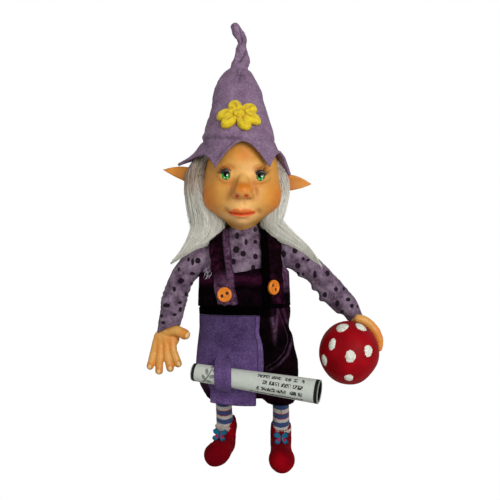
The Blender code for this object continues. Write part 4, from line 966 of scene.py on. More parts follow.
for name, (side, stations) in locks.items():
    path = smoothPath(stations, 10)
    way = np.gradient(path[:, :3], axis=0)
    way /= np.linalg.norm(way, axis=1, keepdims=True)
    across = np.cross((0, 1.0, 0), way)
    across /= np.linalg.norm(across, axis=1, keepdims=True)
    a = roundTurn(48)
    core = (path[:, None, :3] + 0.9 * (path[:, 3, None, None] * across[:, None] * np.cos(a)[None, :, None]
        + path[:, 4, None, None] * np.array([0, 1.0, 0]) * np.sin(a)[None, :, None]))
    core += (across[:, None] * (rough(core * (1, 1, 0.15), 2.6, 4.0) * 0.8)[..., None])
    # The core is painted darker than the strands, painted shade within the lock
    grids, tones = [core], [linear(hair["tones"][0]) * 0.85]
    levels = np.linspace(231, 154.5, 40)
    bx, by, brx, bry = between(backTable, levels)
    half = np.linspace(0, math.pi, 40)
    seam = -2 + side * 0.15
    outside = np.stack([bx[:, None] + 0.94 * brx[:, None] * np.cos(half),
        by[:, None] + 0.94 * bry[:, None] * np.sin(half), levels[:, None] + 0 * half], -1)
    inside = outside.copy()
    inside[..., 1] = np.maximum(4.2, inside[..., 1] - 4.5)
    wrap = np.concatenate([outside, inside[:, ::-1]], 1)
    wrap[..., 0] = np.where(side < 0, np.minimum(wrap[..., 0], seam), np.maximum(wrap[..., 0], seam))
    grids.append(wrap)
    # The sheet behind is painted darker too, painted shade
    tones.append(linear(hair["tones"][0]) * 0.8)
    count = len(path)
    for i in range(hair["front"]):
        phi, deep = rng.uniform(0, 2 * math.pi), rng.uniform(0.86, 1.04)
        start = rng.uniform(0, 0.18) if rng.uniform() < 0.8 else rng.uniform(0.2, 0.5)
        stop = min(1.0, rng.uniform(0.8, 1.04))
        loose = rng.uniform() < 0.12
        k = np.linspace(start, stop, hair["points"]) * (count - 1)
        s = np.linspace(0, 1, hair["points"])
        drift = phi + rng.normal(0, 0.5) * s + 0.1 * np.sin(s * rng.uniform(3, 9) + phi * 3)
        spread = deep + (0.28 * s ** 2 if loose else 0) + 0.03 * np.sin(s * 14 + phi * 5)
        at = np.stack([np.interp(k, np.arange(count), path[:, j]) for j in range(5)], 1)
        sx = np.stack([np.interp(k, np.arange(count), across[:, j]) for j in range(3)], 1)
        rows = (at[:, :3] + sx * (at[:, 3] * spread * np.cos(drift))[:, None]
            + np.array([0, 1.0, 0]) * (at[:, 4] * spread * np.sin(drift))[:, None])
        radius = (hair["radius"] * (0.55 if loose else 1.0) * rng.uniform(0.7, 1.2) * (1 - 0.75 * s ** 3)
            * np.minimum(1, s * 8 + 0.3))
        grids.append(hairTube(rows, radius, 3))
        own = linear(hair["tones"][rng.integers(0, 4)]) * rng.uniform(0.88, 1.1)
        # The scalp shows through
        thin = 0.95 * ease(rows[:, 2], 190, 206) * rng.uniform(0.2, 1.0) * (1.0 if side < 0 else 0.6)
        tones.append(own + (linear("#a0724a") - own) * thin[:, None])
    for i in range(hair["wisps"][int(side > 0)]):
        wisp = smoothPath([(-38.8, -3, 174, 1), (-40.6, -4, 166.0, 1), (-43.2, -4, 159.6, 1),
            (-46.9, -4, 153.0, 1), (-51.6, -5, 146.8, 1), (-56.0, -5, 143.0, 1)] if side < 0
            else [(46.0, -7, 156.5, 1), (50.0, -8, 151.5, 1), (54.5, -8, 144.5, 1), (57.5, -8, 138.5, 1)], 5)
        s = np.linspace(0, 1, len(wisp))[:, None]
        off = rng.normal(0, 1, 3) * (0.5, 0.8, 0.5) + rng.normal(0, 1, 3) * (0.9, 0.5, 0.9) * s ** 2
        keep = max(6, int(len(wisp) * rng.uniform(0.6, 1.0)))
        grids.append(hairTube((wisp[:, :3] + off)[:keep], 0.15 * (1 - 0.7 * s[:keep, 0] ** 2), 3))
        tones.append(linear(hair["tones"][rng.integers(0, 4)]))
    for i in range(hair["back"]):
        phi = rng.uniform(0.02, 0.5) * math.pi
        s = np.linspace(0, 1, hair["points"])
        levels = 231 - (231 - rng.uniform(148, 162)) * s
        bx, by, brx, bry = between(backTable, levels)
        swing = (phi if side > 0 else math.pi - phi) + 0.05 * np.sin(s * 6 + phi * 9)
        grow = rng.uniform(0.95, 1.02)
        rows = np.stack([bx + brx * grow * np.cos(swing), by + bry * grow * np.sin(swing), levels], 1)
        rows[:, 0] = np.where(side < 0, np.minimum(rows[:, 0], seam), np.maximum(rows[:, 0], seam))
        radius = hair["radius"] * rng.uniform(0.8, 1.3) * (1 - 0.75 * s ** 3) * np.minimum(1, s * 8 + 0.3)
        grids.append(hairTube(rows, radius, 3))
        tones.append(linear(hair["tones"][rng.integers(0, 4)]) * rng.uniform(0.85, 1.08))
    dress(bundle("mohair_" + name, grids, tones), mohair, [name])
print("hair ready")


# Brushed jersey: lilac grey with printed dark spots; a pale pile lies over both and breaks the spots' edges
jersey, tree, shader = newMaterial("brushed jersey with printed spots", Roughness=0.9, IOR=1.5,
    Specular_IOR_Level=0.12, Sheen_Weight=0.15, Sheen_Roughness=0.5, Sheen_Tint="#c4b4c6")
coords = addNode(tree, "TexCoord")
place, flatPlace = coords.outputs["Object"], coords.outputs["UV"]
cloud = addNode(tree, "TexNoise", inputs={"Vector": place, "Scale": perMm(6), "Detail": 4.0,
    "Roughness": 0.65})
tone = addNode(tree, "ValToRGB", inputs={0: cloud}, stops=[(0.34, "#493848"), (0.68, "#8d7b8b"),
    (0.5, "#6e5a6d")])
comb = addNode(tree, "Mapping", inputs={"Vector": flatPlace, "Rotation": (0, 0, 0.5),
    "Scale": (1.5, 0.45, 1.0)})
pile = addNode(tree, "TexNoise", {"noise_type": "RIDGED_MULTIFRACTAL"},
    {"Vector": comb, "Scale": 1.5, "Detail": 3.0, "Distortion": 1.1})
pileShare = addNode(tree, "MapRange", inputs={"Value": pile, "From Min": 0.85, "From Max": 1.6,
    "To Min": 0.0, "To Max": 0.8})
brushed = addNode(tree, "Mix", "RGBA", {0: pileShare, 6: tone, 7: "#ab9ba9"})
spot = addNode(tree, "Attribute", "spot")
wobble = addNode(tree, "TexNoise", inputs={"Vector": place, "Scale": perMm(0.9), "Detail": 2.0})
edge = addNode(tree, "Math", "MULTIPLY_ADD", {0: wobble, 1: 0.45, 2: spot.outputs["Fac"]})
inSpot = addNode(tree, "MapRange", {"interpolation_type": "SMOOTHSTEP"},
    {"Value": edge, "From Min": 0.02, "From Max": 0.22, "To Max": 0.97})
printed = addNode(tree, "Mix", "RGBA", {0: inSpot, 6: brushed.outputs[2], 7: "#12060f"})
wire(tree, shader, Base_Color=printed.outputs[2])
wales = addNode(tree, "TexWave", inputs={"Vector": flatPlace, "Scale": 0.42, "Distortion": 2.5,
    "Detail": 2.0, "Detail Scale": 1.0})
knit = addNode(tree, "Bump", inputs={"Height": wales, "Strength": 0.3, "Distance": 0.0003})
nap = addNode(tree, "Bump", inputs={"Height": pile, "Strength": 0.7, "Distance": 0.0006, "Normal": knit})
wire(tree, shader, Normal=nap.outputs[0])


def swollen(grid, reach):  # moves each ring point away from its ring's middle by so many millimetres
    middle = grid.mean(1, keepdims=True)
    way = grid - middle
    far = np.linalg.norm(way, axis=-1, keepdims=True)
    return middle + way * (1 + np.asarray(reach)[..., None] / far)


def cuffed(grid, lean):  # slants the end and turns the last ring inward, so that it is an open cuff
    share = ease(np.arange(len(grid)), len(grid) - 22, len(grid) - 1)[:, None]
    grid = grid.copy()
    grid[..., 2] += share * (lean * (grid[..., 0] - grid[-1, :, 0].mean()) - 2.0)
    last, before = grid[-1], grid[-2]
    middle = last.mean(0)
    way = middle - before.mean(0)
    way /= np.linalg.norm(way)
    rows = [middle + (last - middle) * size + way * step for size, step in ((0.97, 0.45), (0.9, 0.5),
        (0.85, -0.2), (0.82, -3), (0.8, -6))]
    return np.concatenate([grid, np.array(rows)])


# Above 0 inside a printed spot; behind is where the pattern is free
def spotField(points, uv, placed, behind, seed):
    field = np.full(points.shape[:-1], -1.0)
    for x, z, across, high in placed:
        far = np.hypot((points[..., 0] - x) / across, (points[..., 2] - z) / high)
        field = np.maximum(field, np.where(behind, -1, 1 - far))
    pick = np.random.default_rng(seed)
    top = uv.reshape(-1, 2).max(0)
    for i in range(int(top[0] / 7.5) + 2):
        for j in range(int(top[1] / 6.8) + 2):
            at = (i + pick.uniform(0.1, 0.9)) * 7.5, (j + pick.uniform(0.1, 0.9)) * 6.8
            size = pick.uniform(1.2, 2.1, 2)
            far = np.hypot((uv[..., 0] - at[0]) / size[0], (uv[..., 1] - at[1]) / size[1])
            field = np.maximum(field, np.where(behind, 1 - far, -1))
    return np.clip(field, -1, 1)


torsoTable = [(112.3, -0.6, 0, 33.2, 21), (124, -0.6, 0, 32.8, 20.8), (137, -0.6, 0, 32.2, 20),
    (147, -0.6, 0, 31.2, 18.6), (153, -0.8, 0.5, 29.6, 17.2), (158, -1, 1, 26.6, 15.4),
    (162, -1, 1.5, 22.2, 13.4), (165, -1, 2, 17.0, 11.8), (168, -1, 2.5, 12.2, 10.6), (172, -1, 3, 9.8, 9.8),
    (182, -1, 4, 9.0, 9.0)]
shirt = {"across": 190, "rows": 110, "spots": [(-6.3, 154.2, 2.1, 2.4), (-1.2, 151.1, 1.7, 2.0),
    (-8.3, 145.5, 1.7, 2.1), (7.7, 149.0, 1.7, 2.0), (6.1, 141.1, 1.4, 1.8), (0.9, 159.6, 1.1, 2.2),
    (7.7, 159.8, 1.4, 1.4), (7.7, 169.2, 1.4, 1.8), (-5.7, 164.2, 1.3, 2.4), (-28.5, 157.5, 1.4, 1.6)]}
z = np.linspace(112.3, 182, shirt["rows"])
tx, ty, trx, try_ = [c[:, None] for c in between(torsoTable, z)]
c, s = ringOf(roundTurn(shirt["across"]), 2.2)
grid = np.stack([tx + trx * c, ty + try_ * s, z[:, None] + 0 * c], -1)
pleats = (-0.45 * crest(grid[..., 2] - 141, 5) * (0.5 + 0.5 * np.sin(np.arctan2(s, c) * 17 + 0.3 * grid[...,
    2])))
sag = -0.5 * np.abs(rough(grid * (1, 1, 0.6), 8, 2.0)) - 0.25 * np.abs(rough(grid, 3, 4.0))
neck = -0.4 * crest(grid[..., 2] - 168, 3) * (0.5 + 0.5 * np.sin(np.arctan2(s, c) * 9))
grid = swollen(grid, pleats + sag + neck)
field = spotField(grid, gridUv(grid, True)[:, :-1], shirt["spots"], grid[..., 1] > 2, 5)
dress(body("jersey_shirt", grid, values={"spot": field}), jersey, ["shirt_torso"])

sleeves = {"right_sleeve": {"path": [(-24, 2, 149, 9.0), (-34, 1, 146.5, 10.2), (-44.4, 0, 137, 9.3),
    (-49.8, -2, 126, 9.3), (-52.6, -4, 117, 9.7), (-54.4, -6, 106.6, 8.9), (-56.2, -8, 97.6, 9.2)],
    "creases": [(119, 127, 0.55, 4.2), (108, 113, 0.3, 3.6)], "frills": [],
    "spots": [(-34.7, 146.0, 1.85, 2.0), (-38.6, 145.0, 1.05, 2.4), (-41.7, 146.8, 0.9, 1.6),
    (-48.9, 139.5, 0.8, 1.6), (-38.8, 136.4, 1.6, 1.15), (-47.1, 131.1, 2.1, 1.9), (-39.7, 128.7, 0.8, 1.3),
    (-51.8, 125.1, 1.1, 1.8), (-43.5, 121.2, 1.0, 1.5), (-57.4, 113.3, 2.6, 1.4), (-47.6, 115.3, 1.3, 1.1),
    (-47.4, 110.2, 1.0, 1.8), (-61.3, 105.5, 1.5, 1.2), (-51.3, 106.6, 1.4, 1.0), (-59.5, 100.8, 1.6, 1.1)]},
    "left_sleeve": {"path": [(24, 2, 151, 9.0), (33, 1, 150, 10.0), (41.5, 0, 146.2, 9.8),
    (56.0, 0, 134.2, 8.9), (65.2, 0, 123.4, 9.7), (74.4, 0, 113.4, 9.1), (82.6, 0, 104.4, 8.4)],
    "creases": [(124, 138, 0.35, 5.2)], "frills": [(40.5, 134.0, 2.0), (50.5, 124.6, 4.2),
    (58.4, 118.0, 3.0)], "spots": [(28.1, 150.8, 2.0, 2.4), (36.8, 153.3, 1.8, 2.0), (39.0, 142.1, 1.8, 2.0),
    (46.6, 146.4, 1.2, 1.0), (43.0, 147.4, 1.1, 1.1), (39.1, 136.3, 1.4, 1.2), (43.1, 135.9, 0.9, 1.1),
    (51.6, 135.9, 1.2, 2.6), (61.2, 136.6, 1.6, 2.0), (67.1, 124.9, 1.5, 1.5), (73.3, 125.1, 1.0, 1.4),
    (59.1, 120.7, 1.4, 1.8), (68.2, 114.3, 1.4, 2.2), (76.3, 117.3, 1.7, 1.4), (79.0, 112.6, 1.4, 1.3),
    (83.5, 111.8, 0.9, 1.0), (71.9, 108.0, 1.2, 1.4)]}}
for name, plan in sleeves.items():
    grid = tubeGrid(plan["path"], 22, 98, tip=False)
    level = grid[..., 2] + 0.35 * grid[..., 0] * (1 if name == "right_sleeve" else -0.2)
    reach = -0.35 * np.abs(rough(grid, 6, 5.0)) - 0.25 * np.abs(rough(grid, 2.6, 8.0))
    for low, high, deep, pitch in plan["creases"]:
        inside = ease(grid[..., 2], low - 4, low) * (1 - ease(grid[..., 2], high, high + 4))
        reach = (reach - deep * inside * np.abs(np.sin(math.pi * level / pitch + 1.2 * rough(grid, 9,
            7.0))) ** 2)
    for fx, fz, size in plan["frills"]:  # the surplus cloth stands off the lower side of the elbow in points
        reach = reach + size * np.exp(-(((grid[..., 0] - fx) / 2.2) ** 2 + ((grid[..., 2] - fz) / 2.2) ** 2))
    grid = cuffed(swollen(grid, reach), 0.6 if name == "right_sleeve" else -0.75)
    middle = grid.mean(1, keepdims=True)[..., 1]
    field = spotField(grid, gridUv(grid, True)[:, :-1], plan["spots"], grid[..., 1] > middle + 2, 9)
    dress(body("jersey_" + name, grid, values={"spot": field}), jersey, [name])
print("shirt ready")

# Crushed velvet: almost black where the pile faces the eye; plum and lilac where it lies over are painted
# sheen
velvet, tree, shader = newMaterial("crushed plum velvet", Roughness=0.85, IOR=1.5, Specular_IOR_Level=0.02,
                                   Sheen_Weight=0.06, Sheen_Roughness=0.25, Sheen_Tint="#5d4168")
place = addNode(tree, "TexCoord").outputs["Object"]
paint = addNode(tree, "Attribute", "paint")
crush = addNode(tree, "TexNoise", inputs={"Vector": place, "Scale": perMm(5.5), "Detail": 6.0,
    "Roughness": 0.72, "Distortion": 0.8})
nap = addNode(tree, "TexNoise", inputs={"Vector": place, "Scale": perMm(1.1), "Detail": 3.0,
    "Roughness": 0.7})  # drawn coarser
# Painted sheen: the crushed pattern lightens the base colour in patches
level = addNode(tree, "MapRange", inputs={"Value": crush, "From Min": 0.36, "From Max": 0.68, "To Min": 0.35,
    "To Max": 2.1})
grain = addNode(tree, "MapRange", inputs={"Value": nap, "From Min": 0.3, "From Max": 0.7, "To Min": 0.6,
    "To Max": 1.45})
both = addNode(tree, "Math", "MULTIPLY", {0: level, 1: grain})
tone = addNode(tree, "VectorMath", "SCALE", {0: paint.outputs["Color"], "Scale": both})
wire(tree, shader, Base_Color=tone.outputs[0])
bump = addNode(tree, "Bump", inputs={"Height": nap, "Strength": 0.35, "Distance": 0.0004})
soft = addNode(tree, "Bump", inputs={"Height": crush, "Strength": 0.3, "Distance": 0.0015, "Normal": bump})
wire(tree, shader, Normal=soft.outputs[0])
# lilac is a painted-sheen tone and black a painted-shade tone
plum = {"dark": "#050104", "base": "#0e0307", "warm": "#2c0b1f", "lilac": "#63455f", "black": "#010000"}
plum = {key: linear(value) for key, value in plum.items()}


def plumMix(*layers):  # (tone, weight) laid one over another
    out = np.zeros(np.shape(layers[0][1]) + (3,)) + plum[layers[0][0]]
    for key, weight in layers[1:]:
        out = out + (plum[key] - out) * np.clip(weight, 0, 1)[..., None]
    return out


# Band round the chest, with two creases and its top edge higher on the doll's left
band = {"low": 112.6, "top": 137.3, "felt": 1.2, "across": 180, "rows": 34}
v = np.linspace(0, 1, band["rows"])[:, None]
a = roundTurn(band["across"])[None]
c, s = ringOf(a, 2.2)
front = ease(-s, 0, 0.6)
top = band["top"] + front * (1.6 + 2.4 * np.tanh((c * 32 - 4) / 9)) * 0.9
z = band["low"] + (top - band["low"]) * v
tx, ty, trx, try_ = between(torsoTable, z)
grid = np.stack([tx + (trx + 0.2) * c, ty + (try_ + 0.3) * s, z], -1)
level = grid[..., 2] + 1.2 * rough(grid, 12, 3.0)
reach = (0.55 * np.abs(rough(grid * (0.6, 0.6, 1.6), 5, 6.0)) + 0.5 * crest(level - 131,
    2.6) * (0.4 + 0.6 * rough(grid, 15, 4) ** 2))
reach = reach + 0.45 * crest(level - 121, 2.2)
grid = swollen(grid, reach * (0.25 + 0.75 * ease(-s, 0.2, 0.6)))
# Painted sheen in lilac on the doll's left side and in warm plum along the upper ridge; painted shade in
# black along the lower edge and the middle crease
paint = plumMix(("dark", 0 * level), ("base", 0.8 * ease(rough(grid, 7, 2.0), -0.3, 0.4)),
    ("warm", 0.9 * crest(level - 132.5, 3)), ("lilac", 0.5 * (grid[..., 0] > 26) * ease(grid[..., 2], 121,
    128)), ("black", (1.0 - ease(grid[..., 2], 113.4, 114.6)) * (1 - front * ease(grid[..., 0], 18, 24))),
    ("black", 0.7 * crest(level - 125.5, 0.7)))
piece = dress(shell("velvet_band", grid, band["felt"], True, values={"paint": paint}), velvet,
    ["bib_band"])


def strapLine(x, count):  # the side view of the chest at one x, from the front waist over the shoulder
    near, back = [], []
    for z in np.linspace(115.0, 166, 70):
        cx, cy, rx, ry = between(torsoTable, z)
        t = abs(x - cx) / rx
        if t >= 0.999:
            break
        half = ry * (1 - t ** 2.2) ** (1 / 2.2)
        extra = 1.95 * min(1.0, max(0.0, (145 - z) / 2.5))
        near.append((cy - half - extra, z))
        back.append((cy + half + extra, z))
    line = np.array(near + back[::-1])
    tangent = np.gradient(line, axis=0)
    normal = np.stack([-tangent[:, 1], tangent[:, 0]], axis=1)
    normal /= np.linalg.norm(normal, axis=1)[:, None] + 1e-9
    over = np.sin(np.pi * np.linspace(0, 1, len(line))) ** 4
    line = line + normal * (0.65 + 1.1 * over)[:, None]
    far = np.concatenate([[0], np.cumsum(np.linalg.norm(np.diff(line, axis=0), axis=1))])
    want = np.linspace(0, far[-1], count)
    return np.stack([np.interp(want, far, line[:, 0]), np.interp(want, far, line[:, 1])], axis=1)


straps = {"right_strap": (-12.3, -18.8), "left_strap": (21.0, 18.6)}
strapWidth, strapRows, strapCols = 14.0, 150, 25
for name, (waist, shoulder) in straps.items():
    v = np.linspace(0, 1, strapRows)
    u = np.linspace(0, 1, strapCols)
    x = waist + (shoulder - waist) * np.sin(math.pi * v)[:, None] + strapWidth * (u - 0.5)[None]
    x = (x + 0.35 * np.sin(v * 47 + 1)[:, None] * (np.abs(u - 0.5) > 0.4)[None] * ease(np.abs(u - 0.5), 0.3,
        0.5)[None])
    stops = np.linspace(x.min(), x.max(), 26)
    lines = np.array([strapLine(at, strapRows) for at in stops])
    for _ in range(4):
        lines[:, 1:-1] = (lines[:, :-2] + 2 * lines[:, 1:-1] + lines[:, 2:]) / 4
    grid = np.zeros((strapRows, strapCols, 3))
    for i in range(strapRows):
        grid[i] = np.stack([x[i], np.interp(x[i], stops, lines[:, i, 0]),
            np.interp(x[i], stops, lines[:, i, 1])], -1)
    far = np.concatenate([[0], np.cumsum(np.linalg.norm(np.diff(grid[:, strapCols // 2], axis=0),
        axis=1))])[:, None]
    across = u[None] + 0 * far
    lift = 0.25 * np.abs(rough(grid, 4, 3.0))
    if name == "right_strap":
        ribs = ease(across, 0.66, 0.74)
        lift = lift + 0.3 * ribs * (0.5 + 0.5 * np.sin(2 * math.pi * (far / 1.15 + across * 2)))
        # Painted sheen in lilac on the ribbed edge and at the front end, painted shade in a black line beside
        # the ribs
        paint = plumMix(("base", across), ("warm", 0.8 * ease(rough(grid, 5, 8), -0.2, 0.5)),
            ("lilac", 0.5 * ribs), ("black", 0.7 * crest(across - 0.67, 0.03)),
            ("lilac", 0.6 * (1 - ease(far, 10, 26)) * (1 - ribs)))
        grid[0, :, 2] -= 1.2 * crest(u - 0.35, 0.1) + 0.5 * crest(u - 0.8, 0.12)  # a frayed corner
    else:
        # Painted shadow: the inner edge is painted black
        dark = 1 - ease(across, 0.3, 0.38)
        lift = lift + 0.35 * dark * np.sin(np.clip(across / 0.36, 0, 1) * math.pi)
        paint = plumMix(("base", across), ("warm", 0.7 * ease(rough(grid, 6, 5), -0.1, 0.5)), ("black", dark))
    grid = grid + gridNormals(grid, False) * lift[..., None]
    piece = dress(shell("velvet_" + name, grid, 1.5, values={"paint": paint}), velvet, [name])
print("band and straps ready")

# Buttons: turned orange plastic with a soft rim, a shallow dish and two thread holes
orange, tree, shader = newMaterial("orange button plastic", Roughness=0.38, IOR=1.5, Coat_Weight=0.05,
    Coat_Roughness=0.3)
place = addNode(tree, "TexCoord").outputs["Object"]
swirl = addNode(tree, "TexNoise", inputs={"Vector": place, "Scale": perMm(3), "Detail": 4.0,
    "Distortion": 2.0})
tone = addNode(tree, "ValToRGB", inputs={0: swirl}, stops=[(0.35, "#cc6a02"), (0.65, "#e07f0c")])
# Painted shade inside the thread holes
deep = addNode(tree, "Mix", "RGBA", {0: addNode(tree, "Attribute", "hollow_and_shade").outputs["Fac"], 6: tone,
    7: "#3a1206"})
wire(tree, shader, Base_Color=deep.outputs[2])
scratch = addNode(tree, "Bump", inputs={"Height": swirl, "Strength": 0.06, "Distance": 0.0005})
wire(tree, shader, Normal=scratch.outputs[0])
buttons = {"right_button": (-13.3, 121.9, 5.6, 28, 0), "left_button": (18.6, 127.0, 5.9, -48, 24)}
for name, (x, z, off, spin, more) in buttons.items():
    cx, cy, rx, ry = between(torsoTable, z)
    y = cy - ry * (1 - abs((x - cx) / rx) ** 2.2) ** (1 / 2.2)
    slope = (cy - ry * (1 - abs((x + 0.5 - cx) / rx) ** 2.2) ** (1 / 2.2) - y) / 0.5
    aim = math.atan(slope)
    centre = np.array([x + off * math.sin(aim), y - off * math.cos(aim), z])
    aim += math.radians(more)
    r = np.concatenate([np.linspace(0.05, 4.4, 34), 4.4
        + 0.95 * np.sin(np.linspace(0.1, 1, 9) * math.pi / 2)])
    high = (1.2 - 0.35 * (1 - ease(r, 2.9, 4.0)) - 1.0 * (1 - np.sqrt(np.clip(1 - ((r - 4.4) / 1.0) ** 2, 0,
        1))) * (r > 4.4))
    a = roundTurn(96)
    px, pz = r[:, None] * np.cos(a), r[:, None] * np.sin(a)
    py = -high[:, None] + 0 * px
    near = np.minimum(np.hypot(px - 2.1, pz), np.hypot(px + 2.1, pz))
    hollow_and_shade = 1 - ease(near, 0.95, 1.3)
    py = py + 1.5 * hollow_and_shade + 0.08 * crest(near - 1.5, 0.2)
    top = np.stack([px, py, pz], -1)
    back = top[::-4].copy()
    back[..., 1] = 1.1
    grid = np.concatenate([top, back])
    hollows = np.concatenate([hollow_and_shade, 0 * hollow_and_shade[::-4]])
    k = math.radians(spin)
    grid = np.stack([grid[..., 0] * math.cos(k) - grid[..., 2] * math.sin(k), grid[..., 1],
                     grid[..., 0] * math.sin(k) + grid[..., 2] * math.cos(k)], -1)
    grid = centre + np.stack([grid[..., 0] * math.cos(aim) - grid[..., 1] * math.sin(aim),
                              grid[..., 0] * math.sin(aim) + grid[..., 1] * math.cos(aim), grid[..., 2]], -1)
    dress(body("disc_" + name, grid[::-1], values={"hollow_and_shade": hollows[::-1]}), orange, [name])

# Trousers: hips and short legs fused, then creased; one long fold hangs on the doll's left
hipTable = [(112, -0.5, 0, 34.2, 22.0), (104, -0.4, 0, 33.9, 22.4), (94, -0.9, 0, 33.4, 22.8),
    (86, 0.7, 0, 35.5, 22.8), (71, 2.0, 0, 38.0, 22.6), (60, 2.3, 0, 37.8, 21.6), (52, 2.6, 0, 36.2, 19.0),
    (47, 2.8, 0.5, 33.0, 15.5), (44, 3.0, 1.0, 27.0, 10.5)]
legTables = [[(70, -16, 1, 13, 13), (56, -16.5, 3, 17, 15), (48, -16.5, 4, 15.5, 14),
    (42.5, -16, 4.5, 12.5, 11.5), (40, -16, 4.5, 9.0, 9.0)], [(70, 22, -1, 13, 13), (56, 23.5, -2, 17, 15),
    (48, 24.5, -2, 15.8, 14), (42.5, 25.5, -2, 12.7, 11.5), (39, 26.5, -2, 9.0, 9.0)]]
parts = []
for table, power in ((hipTable, 2.3), (legTables[0], 2.0), (legTables[1], 2.0)):
    z = np.linspace(min(t[0] for t in table), max(t[0] for t in table), 46)
    cx, cy, rx, ry = [k[:, None] for k in between(table, z)]
    c, s = ringOf(roundTurn(90), power)
    parts.append(closed(np.stack([cx + rx * c, cy + ry * s, z[:, None] + 0 * c], -1)))
p, quads = fused(parts, 0.95, 6)
n = meshNormals(p, quads)
x, y, z = p.T
front = ease(-y, 2, 12)
flat = p[:, [0, 2]]
pouch, along = lineDistance(flat, [(24.3, 118), (27.5, 107), (31.0, 97), (33.0, 86), (30, 78.5), (24, 72.5),
    (17.4, 68.6)])
ridge, ridgeAlong = lineDistance(flat, [(18.4, 114.5), (19.8, 104), (21.6, 94), (21.8, 86)])
paintedSheenLine = lineDistance(flat, [(26.4, 119), (24.6, 111), (23.4, 103), (22.8, 95)])[0]
paintedShadeLine = lineDistance(flat, [(13, 108), (13.5, 92), (16, 76), (20, 66)])[0]
press = -0.45 * np.abs(rough(p * (1, 1, 0.45), 7, 3.0)) - 0.3 * np.abs(rough(p, 4, 6.0))
press = press - 1.5 * front * crest(pouch, 1.3) + 0.6 * front * crest(pouch - 3.2, 1.8)
press = press + 0.9 * front * crest(ridge, 1.6) - 0.9 * front * crest(ridge - 4.2, 1.8)
press = press + 0.6 * ease(x, 27, 32) * ease(z, 98, 109)  # meets the band
press = press + 1.4 * ease(x, 26, 32) * crest(z - 91, 4.5)
gather = crest(z - 47, 7)
press = (press - gather * 0.55 * (0.5 + 0.5 * np.sin(np.arctan2(y, x - np.where(x > 3, 24, -16.5)) * 15
    + 0.1 * z)))
p = p + n * press[:, None]
# Painted sheen in lilac and warm plum along the folds' ridges, painted shade in black in the folds and under
# the band
paint = plumMix(("dark", 0 * x), ("base", 0.9 * ease(rough(p, 9, 5.0), -0.3, 0.4)),
    ("lilac", 0.5 * front * crest(ridge, 1.4) * np.sin(np.pi * np.clip(ridgeAlong, 0.03, 0.97))),
    ("lilac", 0.42 * front * crest(pouch - 1.6, 0.5)), ("black", 0.85 * front * crest(pouch, 0.8)),
    ("warm", 0.6 * crest(z - 49, 6)), ("lilac", 0.3 * (x < -22) * crest(z - 57, 6)),
    ("black", ease(z, 104.5, 106.5) * (1 - front * ease(x, 18, 24))),
    ("lilac", 0.4 * front * crest(paintedSheenLine, 1.2)), ("warm", 0.5 * front * hill(flat, (28, 110), (5, 7))),
    ("black", 0.6 * front * crest(paintedShadeLine - 2, 3)))
dress(makeObject("velvet_trousers", p, [quads], values={"paint": paint}), velvet,
    ["trousers"])
print("buttons and trousers ready")

# Rolled paper: one coated sheet wound a turn and a quarter into a slight cone, black at each end
scroll = {"start": np.array([-36.5, -26.0, 66.9]), "end": np.array([50.7, -52.0, 58.0]), "radii": (6.3, 8.1),
    "wall": 0.7}
paperStock, tree, shader = newMaterial("coated paper", Roughness=0.55, IOR=1.5, Specular_IOR_Level=0.3)
place = addNode(tree, "TexCoord").outputs["Object"]
along = addNode(tree, "Attribute", "along").outputs["Fac"]
turned = addNode(tree, "Attribute", "turned").outputs["Fac"]
drawn = addNode(tree, "Attribute", "drawn").outputs["Fac"]
fibre = addNode(tree, "TexNoise", inputs={"Vector": place, "Scale": perMm(3), "Detail": 6.0,
    "Roughness": 0.7})
stock = addNode(tree, "ValToRGB", inputs={0: fibre}, stops=[(0.3, "#b3b9b0"), (0.7, "#c3c9bf")])
rowPitch, firstRowTurn, halfLong = 35.5, 306, 45.7  # degrees, degrees and millimetres
row = addNode(tree, "Math", "MULTIPLY_ADD", {0: turned, 1: 1 / rowPitch, 2: -firstRowTurn / rowPitch})
rowIndex = addNode(tree, "Math", "ROUND", {0: row})
inRow = addNode(tree, "Math", "SUBTRACT", {0: row, 1: rowIndex})
inRowFar = addNode(tree, "Math", "ABSOLUTE", {0: inRow})
lettersHigh = addNode(tree, "MapRange", inputs={"Value": inRowFar, "From Min": 0.26, "From Max": 0.32,
    "To Min": 1.0, "To Max": 0.0})
rowPlace = addNode(tree, "CombineXYZ", inputs={"X": along, "Y": addNode(tree, "Math", "MULTIPLY",
    {0: rowIndex, 1: 23.7})})
notch = addNode(tree, "Math", "COMPARE", {0: rowIndex, 1: 2.0, 2: 0.5})
firstRow = addNode(tree, "Math", "COMPARE", {0: rowIndex, 1: 0.0, 2: 0.5})
words = addNode(tree, "TexNoise", {"noise_dimensions": "2D"}, {"Vector": rowPlace, "Scale": 0.36,
    "Detail": 0.0})
sure = addNode(tree, "Math", "MULTIPLY_ADD", {0: firstRow, 1: 0.25, 2: words})
inWord = addNode(tree, "Math", "GREATER_THAN", {0: sure, 1: 0.36})
finePlace = addNode(tree, "CombineXYZ", inputs={"X": along, "Y": addNode(tree, "Math", "MULTIPLY",
    {0: row, 1: 4.8})})
shapes = addNode(tree, "TexNoise", {"noise_dimensions": "2D"}, {"Vector": finePlace, "Scale": 0.95,
    "Detail": 1.0})
